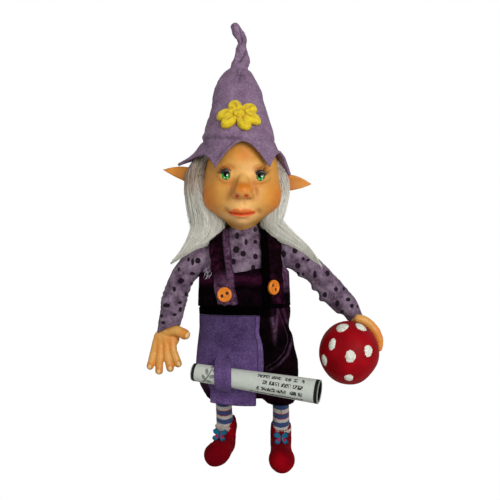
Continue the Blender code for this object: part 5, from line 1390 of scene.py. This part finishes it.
# Plain marks, no letters
strokes = addNode(tree, "MapRange", inputs={"Value": shapes, "From Min": 0.43, "From Max": 0.47})
starts = addNode(tree, "Math", "MULTIPLY_ADD", {0: notch, 1: 4.4, 2: 48.6})
starts = addNode(tree, "Math", "MULTIPLY_ADD", {0: firstRow, 1: -5.0, 2: starts})
area = addNode(tree, "Math", "GREATER_THAN", {0: along, 1: starts})
area2 = addNode(tree, "Math", "LESS_THAN", {0: along, 1: 81.6})
area3 = addNode(tree, "Math", "LESS_THAN", {0: rowIndex, 1: 3.4})
area4 = addNode(tree, "Math", "GREATER_THAN", {0: rowIndex, 1: -0.4})
ink = strokes.outputs[0]
for part in (lettersHigh, inWord, area, area2, area3, area4):
    ink = addNode(tree, "Math", "MULTIPLY", {0: ink, 1: part}).outputs[0]
borderFar = addNode(tree, "Math", "ABSOLUTE", {0: addNode(tree, "Math", "SUBTRACT", {0: along, 1: halfLong})})
border = addNode(tree, "MapRange", inputs={"Value": borderFar, "From Min": 42.9, "From Max": 43.15})
borderEnd = addNode(tree, "MapRange", inputs={"Value": borderFar, "From Min": 45.2, "From Max": 45.4,
    "To Min": 1.0, "To Max": 0.0})
frameInk = addNode(tree, "Math", "MULTIPLY", {0: border, 1: borderEnd})
inked = addNode(tree, "Math", "MAXIMUM", {0: ink, 1: frameInk})
grey = addNode(tree, "Mix", "RGBA", {0: drawn, 6: stock, 7: "#4c5048"})
printed = addNode(tree, "Mix", "RGBA", {0: inked, 6: grey.outputs[2], 7: "#101010"})
wire(tree, shader, Base_Color=printed.outputs[2])
bump = addNode(tree, "Bump", inputs={"Height": fibre, "Strength": 0.12, "Distance": 0.0006})
wire(tree, shader, Normal=bump.outputs[0])
reach = scroll["end"] - scroll["start"]
long = float(np.linalg.norm(reach))
way = reach / long
side = np.cross(way, (0, 0, 1))
side /= np.linalg.norm(side)
up = np.cross(side, way)
vs = np.concatenate([np.linspace(0, 0.03, 5)[:-1], np.linspace(0.03, 0.2, 46)[:-1], np.linspace(0.2, 1, 30)])
us = np.linspace(0, 1, 140)
v, u = np.meshgrid(vs, us, indexing="ij")
turned = 360 * 1.22 * u + 200
r = scroll["radii"][0] + (scroll["radii"][1] - scroll["radii"][0]) * v
r = r - scroll["wall"] - 1.15 * (1 - ease(turned, 225, 330)) + 0.12 * np.sin(np.radians(turned) * 2 + v * 5)
angle = np.radians(turned)
grid = (scroll["start"] + reach * v[..., None] + side * (r * np.cos(angle))[..., None]
    + up * (r * np.sin(angle))[..., None])
flatAlong, flatUp = v * long, (turned - 360) / 57.3 * r  # millimetres on the sheet, seen from the front
sprig = np.stack([flatAlong - 3.0, flatUp], -1)
stem = lineDistance(sprig, [(5.5, -5.5), (8.5, -2.5), (11, 1.0), (12.5, 5.0)])[0]
drawnMask = 1 - ease(stem, 0.25, 0.55)
for lx, ly, turnBy, size in ((7.2, -1.2, 2.2, 2.6), (10.8, -3.6, 0.0, 2.8), (9.0, 2.8, 2.0, 2.7),
        (13.2, 0.2, 0.3, 2.6), (12.0, 7.4, 1.2, 2.8), (14.6, 4.4, 0.4, 2.0)):
    a, b = flatAlong - 3.0 - lx, flatUp - ly
    m, w = a * math.cos(turnBy) + b * math.sin(turnBy), -a * math.sin(turnBy) + b * math.cos(turnBy)
    leaf = np.abs(w) / np.maximum(0.1, 1.15 * (1 - (m / size) ** 2))
    vein = 0.5 * crest(w, 0.22)
    drawnMask = np.maximum(drawnMask, (1 - ease(leaf, 0.75, 1.1)) * (np.abs(m) < size) * (0.75 - vein
        + 0.25 * ease(b, -2, 2)))
piece = dress(shell("paper_scroll", grid[:, ::-1], scroll["wall"], values={"along": flatAlong[:, ::-1],
    "turned": turned[:, ::-1], "drawn": drawnMask[:, ::-1]}), paperStock, ["scroll"])

# Apron: a felt flap hung from the waist, with a loop between two slits that holds the roll
violetFelt = feltMaterial("violet wool felt", "#412a58", "#5b4473", "#725c8e", "#9383aa")


def apronRest(angle, z):
    cx, cy, rx, ry = between(hipTable, np.maximum(z, 62.0))
    c, s = ringOf(angle, 2.3)
    return cx + rx * c, cy + ry * s


def scrollAt(x):  # y, z and radius of the roll's axis at x
    t = (x - scroll["start"][0]) / reach[0]
    thin, wide = scroll["radii"]
    return scroll["start"][1] + reach[1] * t, scroll["start"][2] + reach[2] * t, thin + (wide - thin) * t


apronTop, apronLow, apronRows = 106.4, 43.2, 90


def apronGrid(turns, rows, stand0, standV, loop=None):
    v, turnsAt = np.meshgrid(np.linspace(0, 1, rows), turns, indexing="ij")
    angle = np.radians(turnsAt)
    z = apronTop - (apronTop - apronLow) * v
    low = np.clip((60 - z) / (60 - apronLow), 0, None)
    z = (z + low ** 1.5 * (8.5 * ease(-turnsAt, -230, -204) + 0.9 * ease(-turnsAt, -250, -226))
        - 0.6 * low * ease(turnsAt, 240, 270))
    angle = angle - np.radians((turnsAt - 252) * 0.17 * ease(-z, -92, -50) * (turnsAt > 252))
    angle = (angle + np.radians(ease(-turnsAt, -232, -203) * (4.5 * ease(z, 82, 104) + 19 * ease(-z, -67,
        -57) + 8 * ease(-z, -64, -50))))
    x, y = apronRest(angle, z)
    out = np.stack([np.cos(angle), np.sin(angle) * 1.3], -1)
    out /= np.linalg.norm(out, axis=-1, keepdims=True)
    stand = stand0 + standV * v
    fx, fy = x + out[..., 0] * stand, y + out[..., 1] * stand
    if loop is not None:
        sy, sz, sr = scrollAt(fx)
        t = (z - sz) / (sr + 3.8)
        over = fy - np.maximum(0, fy - (sy - sr - 1.0)) * np.sqrt(np.clip(1 - t * t, 0, 1))
        for _ in range(2):
            over[1:-1] = (over[:-2] + 2 * over[1:-1] + over[2:]) / 4
        fy = np.where(loop[None] > 0.5, over, fy)
    return np.stack([fx, fy, z], -1), v, z


turns = np.concatenate([np.linspace(203.5, 236.6, 40), np.linspace(237.3, 251.2, 34),
    np.linspace(251.9, 283.0, 46)])
loop = ((turns > 237) & (turns < 251.5)).astype(float)
grid, v, z = apronGrid(turns, apronRows, 0.65, 0.9, loop)
ripple = 0.35 * np.abs(rough(grid * (1, 1, 0.5), 13, 3.0)) + 0.12 * np.abs(rough(grid, 4, 4.0))
grid = grid + gridNormals(grid, False) * (ripple * (1 - 0.6 * loop[None]))[..., None]
row, col = np.meshgrid(np.arange(apronRows - 1), np.arange(len(turns) - 1), indexing="ij")
slit = np.isin(col, (39, 73)) & (z[:-1, :-1] > 55.0) & (z[:-1, :-1] < 77.5)
# Painted shade, darker towards the top of the flap
piece = dress(shell("felt_apron", grid[::-1], 1.5, keep=(~slit)[::-1],
    values={"pressed": (0.7 * ease(z, 68, 92))[::-1]}, edge=0.4), violetFelt, ["apron"])
turns = np.linspace(271, 288.5, 24)
grid, v, z = apronGrid(turns, 60, 0.25, 0.15)
grid[..., 0] += 1.6 * ease(v, 0.1, 0.8) * ease(np.linspace(0, 1, 24), 0.5, 1)[None]
piece = dress(shell("felt_apron_side", grid[:44][::-1], 0.6, edge=0.4), violetFelt, ["apron"])
print("paper and apron ready")

# Socks: cotton knit in white, blue and thin red bands, with a ruff of white fluff where the shoe starts
knit, tree, shader = newMaterial("striped cotton knit", Roughness=0.9, IOR=1.5, Specular_IOR_Level=0.15,
    Sheen_Weight=0.25)
place = addNode(tree, "TexCoord").outputs["Object"]
high = addNode(tree, "Attribute", "high").outputs["Fac"]
wobble = addNode(tree, "TexNoise", inputs={"Vector": place, "Scale": perMm(2.2), "Detail": 3.0})
shaky = addNode(tree, "Math", "MULTIPLY_ADD", {0: wobble, 1: 0.7, 2: high})
band = addNode(tree, "MapRange", {"clamp": False}, {"Value": shaky, "From Min": 18.35, "From Max": 44.35})
white, blue, red = "#bdb4ab", "#32466f", "#9a1038"
bands = [(0.0, white), (0.227, blue), (0.362, white), (0.45, red), (0.473, blue), (0.588, red),
    (0.611, white), (0.719, blue)]
tone = addNode(tree, "ValToRGB", inputs={0: band}, stops=bands)
tone.color_ramp.interpolation = "CONSTANT"
loops = addNode(tree, "TexVoronoi", inputs={"Vector": place, "Scale": perMm(0.75)})
level = addNode(tree, "MapRange", inputs={"Value": loops, "From Min": 0.0, "From Max": 0.7, "To Min": 1.1,
    "To Max": 0.75})
shade = addNode(tree, "VectorMath", "SCALE", {0: tone, "Scale": level})
wire(tree, shader, Base_Color=shade.outputs[0])
bump = addNode(tree, "Bump", inputs={"Height": loops, "Strength": 0.5, "Distance": 0.0004})
wire(tree, shader, Normal=bump.outputs[0])
socks = {"right_sock": ([(-14.8, 5.4, 9, 4.6), (-15.0, 5.2, 21, 6.5), (-15.8, 4.9, 32, 6.2),
    (-16.4, 4.6, 45, 6.2)], 0.0), "left_sock": ([(26.8, -2, 9, 6.2), (26.9, -2, 21, 6.5),
    (26.9, -2, 32, 6.2), (26.6, -2, 45, 6.2)], -0.8)}
for name, (stations, lower) in socks.items():
    grid = tubeGrid(stations, 16, 64, tip=False)
    grid = swollen(grid, -0.15 * np.abs(rough(grid, 3, 4.0))
        - 0.12 * (0.5 + 0.5 * np.sin(grid[..., 2] * 4.2)))
    dress(body("knit_" + name, grid, values={"high": grid[..., 2] - lower
        - 0.33 * (grid[..., 1] - stations[1][1]) - 1.6}), knit, [name])
    middle = np.array(stations[1][:3]) - (0, 0, 21)
    strands = []
    for i in range(420):
        a = rng.uniform(1.1, 1.9) * math.pi
        t = np.linspace(0, 1, 5)
        fall = rng.uniform(1.0, 3.2) + 2.4 * max(0.0, -math.sin(a)) * rng.uniform() ** 0.7
        r = 6.3 + 1.4 * ease(t, 0.2, 0.8) + 0.15 * rng.uniform()
        sway = a + rng.normal(0, 0.12) * t
        rows = (middle + np.stack([r * np.cos(sway), r * np.sin(sway), 23.4 + 0.4 * lower - 0.8 * max(0.0,
            -math.sin(a)) - fall * t ** 1.2], -1))
        strands.append(hairTube(rows, 0.2 * (1 - 0.75 * t), 3))
    fluff = bundle("fluff_" + name, strands, [linear("#d3c9c0") * (0.8 + 0.35 * rng.uniform())
        for _ in strands])
    dress(fluff, mohair, [name])

# Shoes: soft red suede with a rolled sole edge
suede, tree, shader = newMaterial("red suede", Roughness=0.88, IOR=1.5, Specular_IOR_Level=0.04,
    Sheen_Weight=0.04, Sheen_Roughness=0.45, Sheen_Tint="#b3252c")
place = addNode(tree, "TexCoord").outputs["Object"]
cloud = addNode(tree, "TexNoise", inputs={"Vector": place, "Scale": perMm(12), "Detail": 3.0})
nap = addNode(tree, "TexNoise", inputs={"Vector": place, "Scale": perMm(0.8), "Detail": 4.0,
    "Roughness": 0.7})
both = addNode(tree, "Math", "MULTIPLY_ADD", {0: nap, 1: 0.4, 2: cloud})
tone = addNode(tree, "ValToRGB", inputs={0: both}, stops=[(0.5, "#5e0009"), (0.9, "#8c020f"),
    (0.7, "#76000c")])
painted_shade = addNode(tree, "Mix", "RGBA", {0: addNode(tree, "Attribute", "painted_shade").outputs["Fac"], 6: tone,
    7: "#3a0208"})
wire(tree, shader, Base_Color=painted_shade.outputs[2])
bump = addNode(tree, "Bump", inputs={"Height": nap, "Strength": 0.3, "Distance": 0.0004})
soft = addNode(tree, "Bump", inputs={"Height": cloud, "Strength": 0.2, "Distance": 0.002, "Normal": bump})
wire(tree, shader, Normal=soft.outputs[0])
shoes = {"right_shoe": ((-12.6, 11.0), (-20.7, -23.5), (-14.4, 5.4)),
    "left_shoe": ((26.7, -1.0), (25.9, -38.5), (26.8, -2.2))}
for name, (heel, toe, ankle) in shoes.items():
    heel, toe = np.array(heel), np.array(toe)
    length = np.linalg.norm(toe - heel) + 19
    way = (toe - heel) / np.linalg.norm(toe - heel)
    aside = np.array([-way[1], way[0]])
    rings = []
    for t in np.concatenate([np.linspace(0, 0.06, 7), np.linspace(0.09, 0.91, 40), np.linspace(0.94, 1, 7)]):
        at = heel + way * (t * length - 9.5)
        full = math.sqrt(max(0.004, 1 - abs(2 * t - 1) ** 6))
        wide = (7.6 + 1.8 * math.exp(-((t - 0.78) / 0.2) ** 2)) * full
        tall = (16.8 + 2.0 * math.exp(-((t - 0.25) / 0.2) ** 2) + 0.5 * math.exp(-((t - 0.82) / 0.15) ** 2)
            - 1.7 * ease(t, 0.4, 0.66)) * full
        a = roundTurn(80)
        z = np.maximum(0.0, tall * 0.46 + tall * 0.54 * np.sin(a) + (1 - full) * 5)
        rings.append(np.stack([at[0] + aside[0] * wide * np.cos(a), at[1] + aside[1] * wide * np.cos(a), z],
            -1))
    collar = tubeGrid([(*ankle, 5, 7.7), (*ankle, 14, 8.0), (*ankle, 21.4, 7.6)], 8, 60, tip=False)
    sideways, backways = (collar[..., 0] - ankle[0]) / 7.7, (collar[..., 1] - ankle[1]) / 7.7
    wings = 5.5 * ease(sideways, 0.1, 0.9) + 0.8 * ease(-sideways, 0.3,
        0.9) if name == "right_shoe" else 3.2 * ease(np.abs(sideways), 0.45, 0.95)
    collar[..., 2] += (wings + 2.5 * ease(backways, 0, 0.8)) * ease(collar[..., 2], 12, 21)
    p, quads = fused([closed(np.array(rings)), closed(collar)], 0.72, 7)
    p[:, 2] = np.maximum(0.0, p[:, 2])
    if name == "right_shoe":  # its heel leans in towards the floor
        lean = 0.6 * crest(p[:, 2] - 21, 3) - 1.9 * crest(p[:, 2] - 7, 6)
        p[:, 0] += lean * ease(p[:, 0], -12.5, -7) * ease(p[:, 1], -8, 2)
    n = meshNormals(p, quads)
    x, y, z = p.T
    far = np.hypot(x - ankle[0], y - ankle[1])
    press = -0.25 * np.abs(rough(p, 9, 2.0))
    instep = (p[:, :2] - ankle) @ way
    press = press - 0.35 * crest(instep - 13 + 0.4 * rough(p, 4, 2.0), 1.0) * ease(z, 8, 14)
    p = p + n * press[:, None] * (z > 0.3)[:, None]
    inside = (far < 7.3) & (z > 15)
    p[inside, 2] = 15.5 + (p[inside, 2] - 15.5) * ease(far[inside], 6.6, 7.3)
    # Painted shade along the bottom edge and inside the opening
    shadeWeight = 0.75 * (1 - ease(z, 0, 1.6)) + 0.8 * (far < 7.2) * (z > 14)
    dress(makeObject("suede_" + name, p, [quads], values={"painted_shade": np.clip(shadeWeight, 0, 1)}), suede,
        [name])

# Butterflies: thin pressed foil, teal with a dark rim and magenta in the middle, lying over the instep
foil, tree, shader = newMaterial("enamelled butterfly foil", Roughness=0.4, IOR=1.5, Specular_IOR_Level=0.2)
paint = addNode(tree, "Attribute", "paint")
place = addNode(tree, "TexCoord").outputs["Object"]
glitter = addNode(tree, "TexVoronoi", inputs={"Vector": place, "Scale": perMm(0.5)})
level = addNode(tree, "MapRange", inputs={"Value": glitter, "From Min": 0.0, "From Max": 0.8, "To Min": 0.7,
    "To Max": 1.25})
tone = addNode(tree, "VectorMath", "SCALE", {0: paint.outputs["Color"], "Scale": level})
wire(tree, shader, Base_Color=tone.outputs[0])
bump = addNode(tree, "Bump", inputs={"Height": glitter, "Strength": 0.3, "Distance": 0.0003})
wire(tree, shader, Normal=bump.outputs[0])
butterflies = {"right_butterfly": ((-18.2, -12.4, 18.2), -16), "left_butterfly": ((26.2, -21.6, 18.3), 0)}
for name, (at, spin) in butterflies.items():
    a = roundTurn(140)
    c, s = np.cos(a), np.sin(a)
    tilt = np.degrees(np.arctan2(s, np.abs(c)))
    upper = 6.0 * np.exp(-(np.abs(tilt - 34) / 40) ** 3.2)
    lower = 6.0 * np.exp(-(np.abs(tilt + 44) / 36) ** 3.2)
    edgeR = np.maximum(0.9, np.maximum(upper, lower)) * (1 + 0.03 * np.sin(tilt / 57.3 * 16))
    rim = np.linspace(0.06, 1, 20)
    px, pz = rim[:, None] * edgeR * c, rim[:, None] * edgeR * s
    lift = 0.3 + 0.05 * px ** 2 * 0.5 + 0.5 * crest(px, 0.7)
    shine = np.zeros(px.shape + (3,)) + linear("#065a78")
    heart = np.hypot((np.abs(px) - 2.2) / 1.3, (pz + 1.3) / 1.6)
    shine = shine + (linear("#96103f") - shine) * (1 - ease(heart, 0.6, 1.1))[..., None]
    shine = (shine + (linear("#0b2f4a") - shine) * (ease(rim, 0.84, 0.9)[:, None] * ease(edgeR, 1.5,
        2.5))[..., None])
    shine = shine + (linear("#5a0a35") - shine) * crest(px, 0.6)[..., None]
    top = np.stack([px, -lift - 0.5, pz], -1)
    low = np.stack([px, -lift + 0.1, pz], -1)[::-3]
    grid = np.concatenate([top, low])
    tones = np.concatenate([shine, shine[::-3]])
    k, lean = math.radians(spin), math.radians(38)
    gx, gy, gz = grid[..., 0], grid[..., 1] * math.cos(lean) + grid[..., 2] * math.sin(lean), grid[...,
        2] * math.cos(lean) - grid[..., 1] * math.sin(lean)
    grid = (np.array(at) + np.stack([gx * math.cos(k) - gy * math.sin(k),
        gx * math.sin(k) + gy * math.cos(k), gz + 0.2 * gx * math.sin(k)], -1))
    dress(body("foil_" + name, grid[::-1], values={"paint": tones[::-1]}), foil, [name])
print("socks, shoes and butterflies ready")

# Ball: red painted clay with raised pearly dots
redClay, tree, shader = newMaterial("red painted clay with pearly dots", Roughness=0.5, IOR=1.5,
    Specular_IOR_Level=0.08)
place = addNode(tree, "TexCoord").outputs["Object"]
dot = addNode(tree, "Attribute", "dot").outputs["Fac"]
cloud = addNode(tree, "TexNoise", inputs={"Vector": place, "Scale": perMm(10), "Detail": 5.0})
red = addNode(tree, "ValToRGB", inputs={0: cloud}, stops=[(0.3, "#80000a"), (0.7, "#9a000f")])
pearl = addNode(tree, "TexNoise", inputs={"Vector": place, "Scale": perMm(2.4), "Detail": 4.0,
    "Distortion": 1.5})
cream = addNode(tree, "ValToRGB", inputs={0: pearl}, stops=[(0.3, "#b5aea0"), (0.6, "#e0e3d6"),
    (0.45, "#d2d3c5")])
share = addNode(tree, "MapRange", inputs={"Value": dot, "From Min": 0.02, "From Max": 0.12})
tone = addNode(tree, "Mix", "RGBA", {0: share, 6: red, 7: cream})
wire(tree, shader, Base_Color=tone.outputs[2])
bump = addNode(tree, "Bump", inputs={"Height": cloud, "Strength": 0.15, "Distance": 0.002})
wire(tree, shader, Normal=bump.outputs[0])
dots = [(-123, 58, 4.3, 4.5), (-49, 59, 3.9, 4.4), (-133.3, 20.5, 2.5, 4.0), (-95.7, 1.0, 3.2, 4.0),
    (-58.8, 9.8, 3.4, 3.7), (-153.4, -10.2, 2.9, 3.8), (-98.9, -42.6, 3.0, 3.3), (145, 32, 3.6, 3.6),
    (110, 8, 3.8, 3.5), (150, -32, 3.5, 3.3), (105, -50, 3.4, 3.6), (45, -42, 3.6, 3.4), (65, -5, 3.5, 3.7)]
d = spherePoints(160, 104)
grid = ballCentre + d * (21.5, 22.0, 22.8)
rise = np.zeros(d.shape[:2])
for turnBy, upBy, across, high in dots:
    t, b = math.radians(turnBy), math.radians(upBy)
    axis = np.array([math.cos(b) * math.cos(t), math.cos(b) * math.sin(t), math.sin(b)])
    east = np.array([-math.sin(t), math.cos(t), 0])
    px, pz = d @ east * 22, d @ np.cross(axis, east) * 22
    far = (np.hypot(px / across, pz / high) * (1 + 0.05 * np.sin(np.arctan2(pz, px) * 3 + turnBy))
        + 9 * (d @ axis < 0.3))
    rise = np.maximum(rise, np.sqrt(np.clip(1 - far ** 2.4, 0, 1)))
dent = 1.3 * hill(d, (0.74, -0.15, -0.66), 0.17)  # where it was pressed before it set
grid = grid + d * (0.95 * rise + 0.12 * rough(grid, 9, 3.0) * (1 - rise) - dent)[..., None]
dress(body("clay_ball", grid[::-1], values={"dot": rise[::-1]}), redClay, ["spotted_ball"])

# Hands: palm and fingers fused; nails are pressed ovals with a painted-shade rim, and painted shade in orange
# lies between the fingers
# rim is a painted-shade tone; warm is the fingertips' orange and, between the fingers, painted shade
hands = {"nail": "#ddb678", "rim": "#a9702c", "skin": "#d49a4c", "warm": "#d2700a"}
hands = {key: linear(value) for key, value in hands.items()}


def aroundBall(turnBy, back, reach):
    t, b = math.radians(turnBy), math.radians(back)
    return ballCentre + reach * np.array([math.cos(b) * math.cos(t), math.sin(b), math.cos(b) * math.sin(t)])


def fingerEnd(stations):  # tip, direction and radius of a finger
    path = np.array(stations)
    way = path[-1][:3] - path[-2][:3]
    return path[-1][:3], way / np.linalg.norm(way), path[-1][3]


def handPiece(name, parts, fingers, nailWays, webs, node):
    p, quads = fused(parts, 0.52, 5)
    n = meshNormals(p, quads)
    paint = np.tile(hands["skin"], (len(p), 1))
    press = 0.15 * rough(p, 3, 4.0)
    for key, stations in fingers.items():
        path = smoothPath(stations, 6)
        far, along = lineDistance(p, path[:, :3])
        mine = far < stations[0][3] + 1.2
        for joint in (0.42, 0.78):  # knuckle creases
            press -= 0.16 * mine * np.exp(-((along - joint) * 45) ** 2)
        end, way, radius = fingerEnd(stations)
        paint += (hands["warm"] - paint) * (0.55 * mine * ease(along, 0.72, 1.0))[:, None]
        look = nailWays.get(key)
        if look is None:
            continue
        look = np.array(look, float)
        look -= way * (look @ way) * (0 if key == "thumb" else 1)
        look /= np.linalg.norm(look)
        spot = (end + way * (radius * (0.2 if key != "thumb" else 0.55)) + look * radius * (0.85
            if key != "thumb" else 0.5))
        along3 = way if key != "thumb" else np.cross(look, (0, 0.3, 1.0))
        along3 = along3 - look * (along3 @ look)
        along3 /= np.linalg.norm(along3)
        crossways = np.cross(along3, look)
        q = p - spot
        far = np.hypot((q @ along3) / (radius * (0.95 if key == "thumb" else 0.8)),
            (q @ crossways) / (radius * (0.85 if key == "thumb" else 0.62)))
        near = (q @ look > -radius * 0.9) & (np.linalg.norm(q, axis=1) < radius * 1.6)
        press += near * (-0.3 * crest(far - 1.0, 0.16) + 0.12 * (1 - ease(far, 0.8, 1.0)))
        paint += (hands["nail"] - paint) * (near * (1 - ease(far, 0.8, 1.0)) * 0.85)[:, None]
        # Painted shade in the groove round the nail
        paint += (hands["rim"] - paint) * (near * crest(far - 1.0, 0.15) * 0.8)[:, None]
    # Painted shade in orange between the fingers and towards the left hand's outer edge
    for at, size, strength in webs:
        paint += (hands["warm"] - paint) * (strength * hill(p, at, size))[:, None]
    p = p + n * press[:, None]
    dress(makeObject(name, p, [quads], values={"paint": paint}), skinClay, [node])


rightFingers = {"index": [(-53.4, -9.6, 88, 3.3), (-52.6, -11.4, 80.5, 2.9), (-50.6, -12.6, 75.5, 2.8),
    (-48.9, -13.4, 70.8, 2.9)], "middle": [(-57.2, -9.6, 88, 3.4), (-57.0, -11.4, 78, 3.0),
    (-54.6, -13.4, 67.6, 2.9)], "ring": [(-61.2, -9.4, 88, 3.4), (-62.4, -10.8, 76, 3.0),
    (-62.8, -12.6, 65.4, 2.9)], "little": [(-64.8, -9, 87, 3.1), (-67.4, -10, 77, 2.8),
    (-69.4, -11.6, 68.6, 2.7)], "thumb": [(-56, -10.6, 94.0, 4.0), (-50.0, -13.4, 95.0, 3.8),
    (-43.6, -15.6, 92.4, 3.9)]}
parts = [closed(np.array([-57.8, -9.0, 88.6]) + spherePoints(60, 40) * (9.6, 4.5, 8.0)),
         closed(np.array([-54.6, -9.0, 94.0]) + spherePoints(60, 40) * (7.4, 4.6, 6.0)),
         closed(tubeGrid([(-57.5, -9, 92, 5.4), (-56.2, -8, 98, 5.6), (-54.8, -6.6, 105, 5.2)], 5, 30))]
parts += [closed(tubeGrid(stations, 7, 26, tip=True, start=True)) for stations in rightFingers.values()]
handPiece("clay_right_hand", parts, rightFingers, {"index": (0.5, -1, -0.3), "middle": (0.2, -1, -0.4),
    "ring": (0, -1, -0.3), "little": (-0.1, -1, 0), "thumb": (0.75, -0.65, -0.1)},
    [((-54.9, -12.5, 84), (1.0, 3, 4.5), 0.8), ((-59.5, -12.5, 83), (1.0, 3, 4.5), 0.8),
    ((-64.2, -12, 83), (1.0, 3, 4.5), 0.7), ((-52.5, -11, 89), (3, 4, 3), 0.5),
    ((-62, -11, 71), (4, 4, 4), 0.35)], "right_hand")
curls = {"middle": (27, 74, 5, 2.8), "ring": (43, 72, 4, 2.8), "little": (58, 76, 8, 2.6),
    "thumb": (60, 80, 124, 2.6)}
leftFingers = {key: [(*aroundBall(a, back, 22.4 + r), r) for a in np.linspace(start, stop, 6)] for key,
    (back, start, stop, r) in curls.items()}
leftFingers["index"] = [(*aroundBall(a, 12, far), r) for a, far, r in ((72, 25.4, 3.4), (65, 25.8, 3.6),
    (56, 25.8, 3.6), (44, 25.6, 3.5), (32, 25.2, 3.4), (20, 24.7, 3.1), (11, 24.0, 2.6), (5, 23.2, 2.2))]
parts = [closed(aroundBall(60, 36, 26.0) + spherePoints(60, 40) * (7.2, 10.5, 6.6)),
    closed(tubeGrid([(*aroundBall(a, 20, 24.9), 2.6) for a in np.linspace(68, 14, 6)], 5, 26, start=True)),
    closed(tubeGrid([(*aroundBall(66, 40, 27), 5.4), (82.6, 0.2, 103.5, 5.2), (77.5, 0, 110, 5.0)], 5, 30))]
parts += [closed(tubeGrid(stations, 5, 26, tip=True, start=True)) for stations in leftFingers.values()]
handPiece("clay_left_hand", parts, leftFingers, {},
    [((97, -12, 92), (5, 8, 8), 0.8), ((99, -8, 82), (4, 8, 6), 0.6)], "left_hand")
print("ball and hands ready")

# Loose threads: white ones frayed out at the armhole, and a navy one caught below the trousers
threads, tones = [], []
for i in range(16):
    s = np.linspace(0, 1, 8)[:, None]
    start = np.array([-25.6, -19.6, 138.0]) + rng.normal(0, 1, 3) * (1.2, 0.2, 2.0)
    way = np.array([rng.uniform(-1.0, 0.2), -0.5, rng.uniform(-1.3, 0.4)]) * rng.uniform(2.0, 4.5)
    threads.append(hairTube(start + way * s + rng.normal(0, 0.7, 3) * np.sin(s * 3),
        0.13 * (1 - 0.5 * s[:, 0]), 3))
    tones.append(linear("#c9bccb"))
dress(bundle("frayed_threads", threads, tones), mohair, ["shirt_torso"])
navy = smoothPath([(26.2, -9.5, 48, 1), (26.4, -10.0, 42, 1), (26.9, -10.0, 36.5, 1), (26.3, -10.2, 32.6, 1),
    (23.4, -9.8, 30.4, 1), (21.0, -8.6, 28.2, 1)], 6)[:, :3]
dress(bundle("navy_thread", [hairTube(navy, np.full(len(navy), 0.2), 5)], [linear("#1b2550")]), mohair,
    ["trousers"])
low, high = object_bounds()
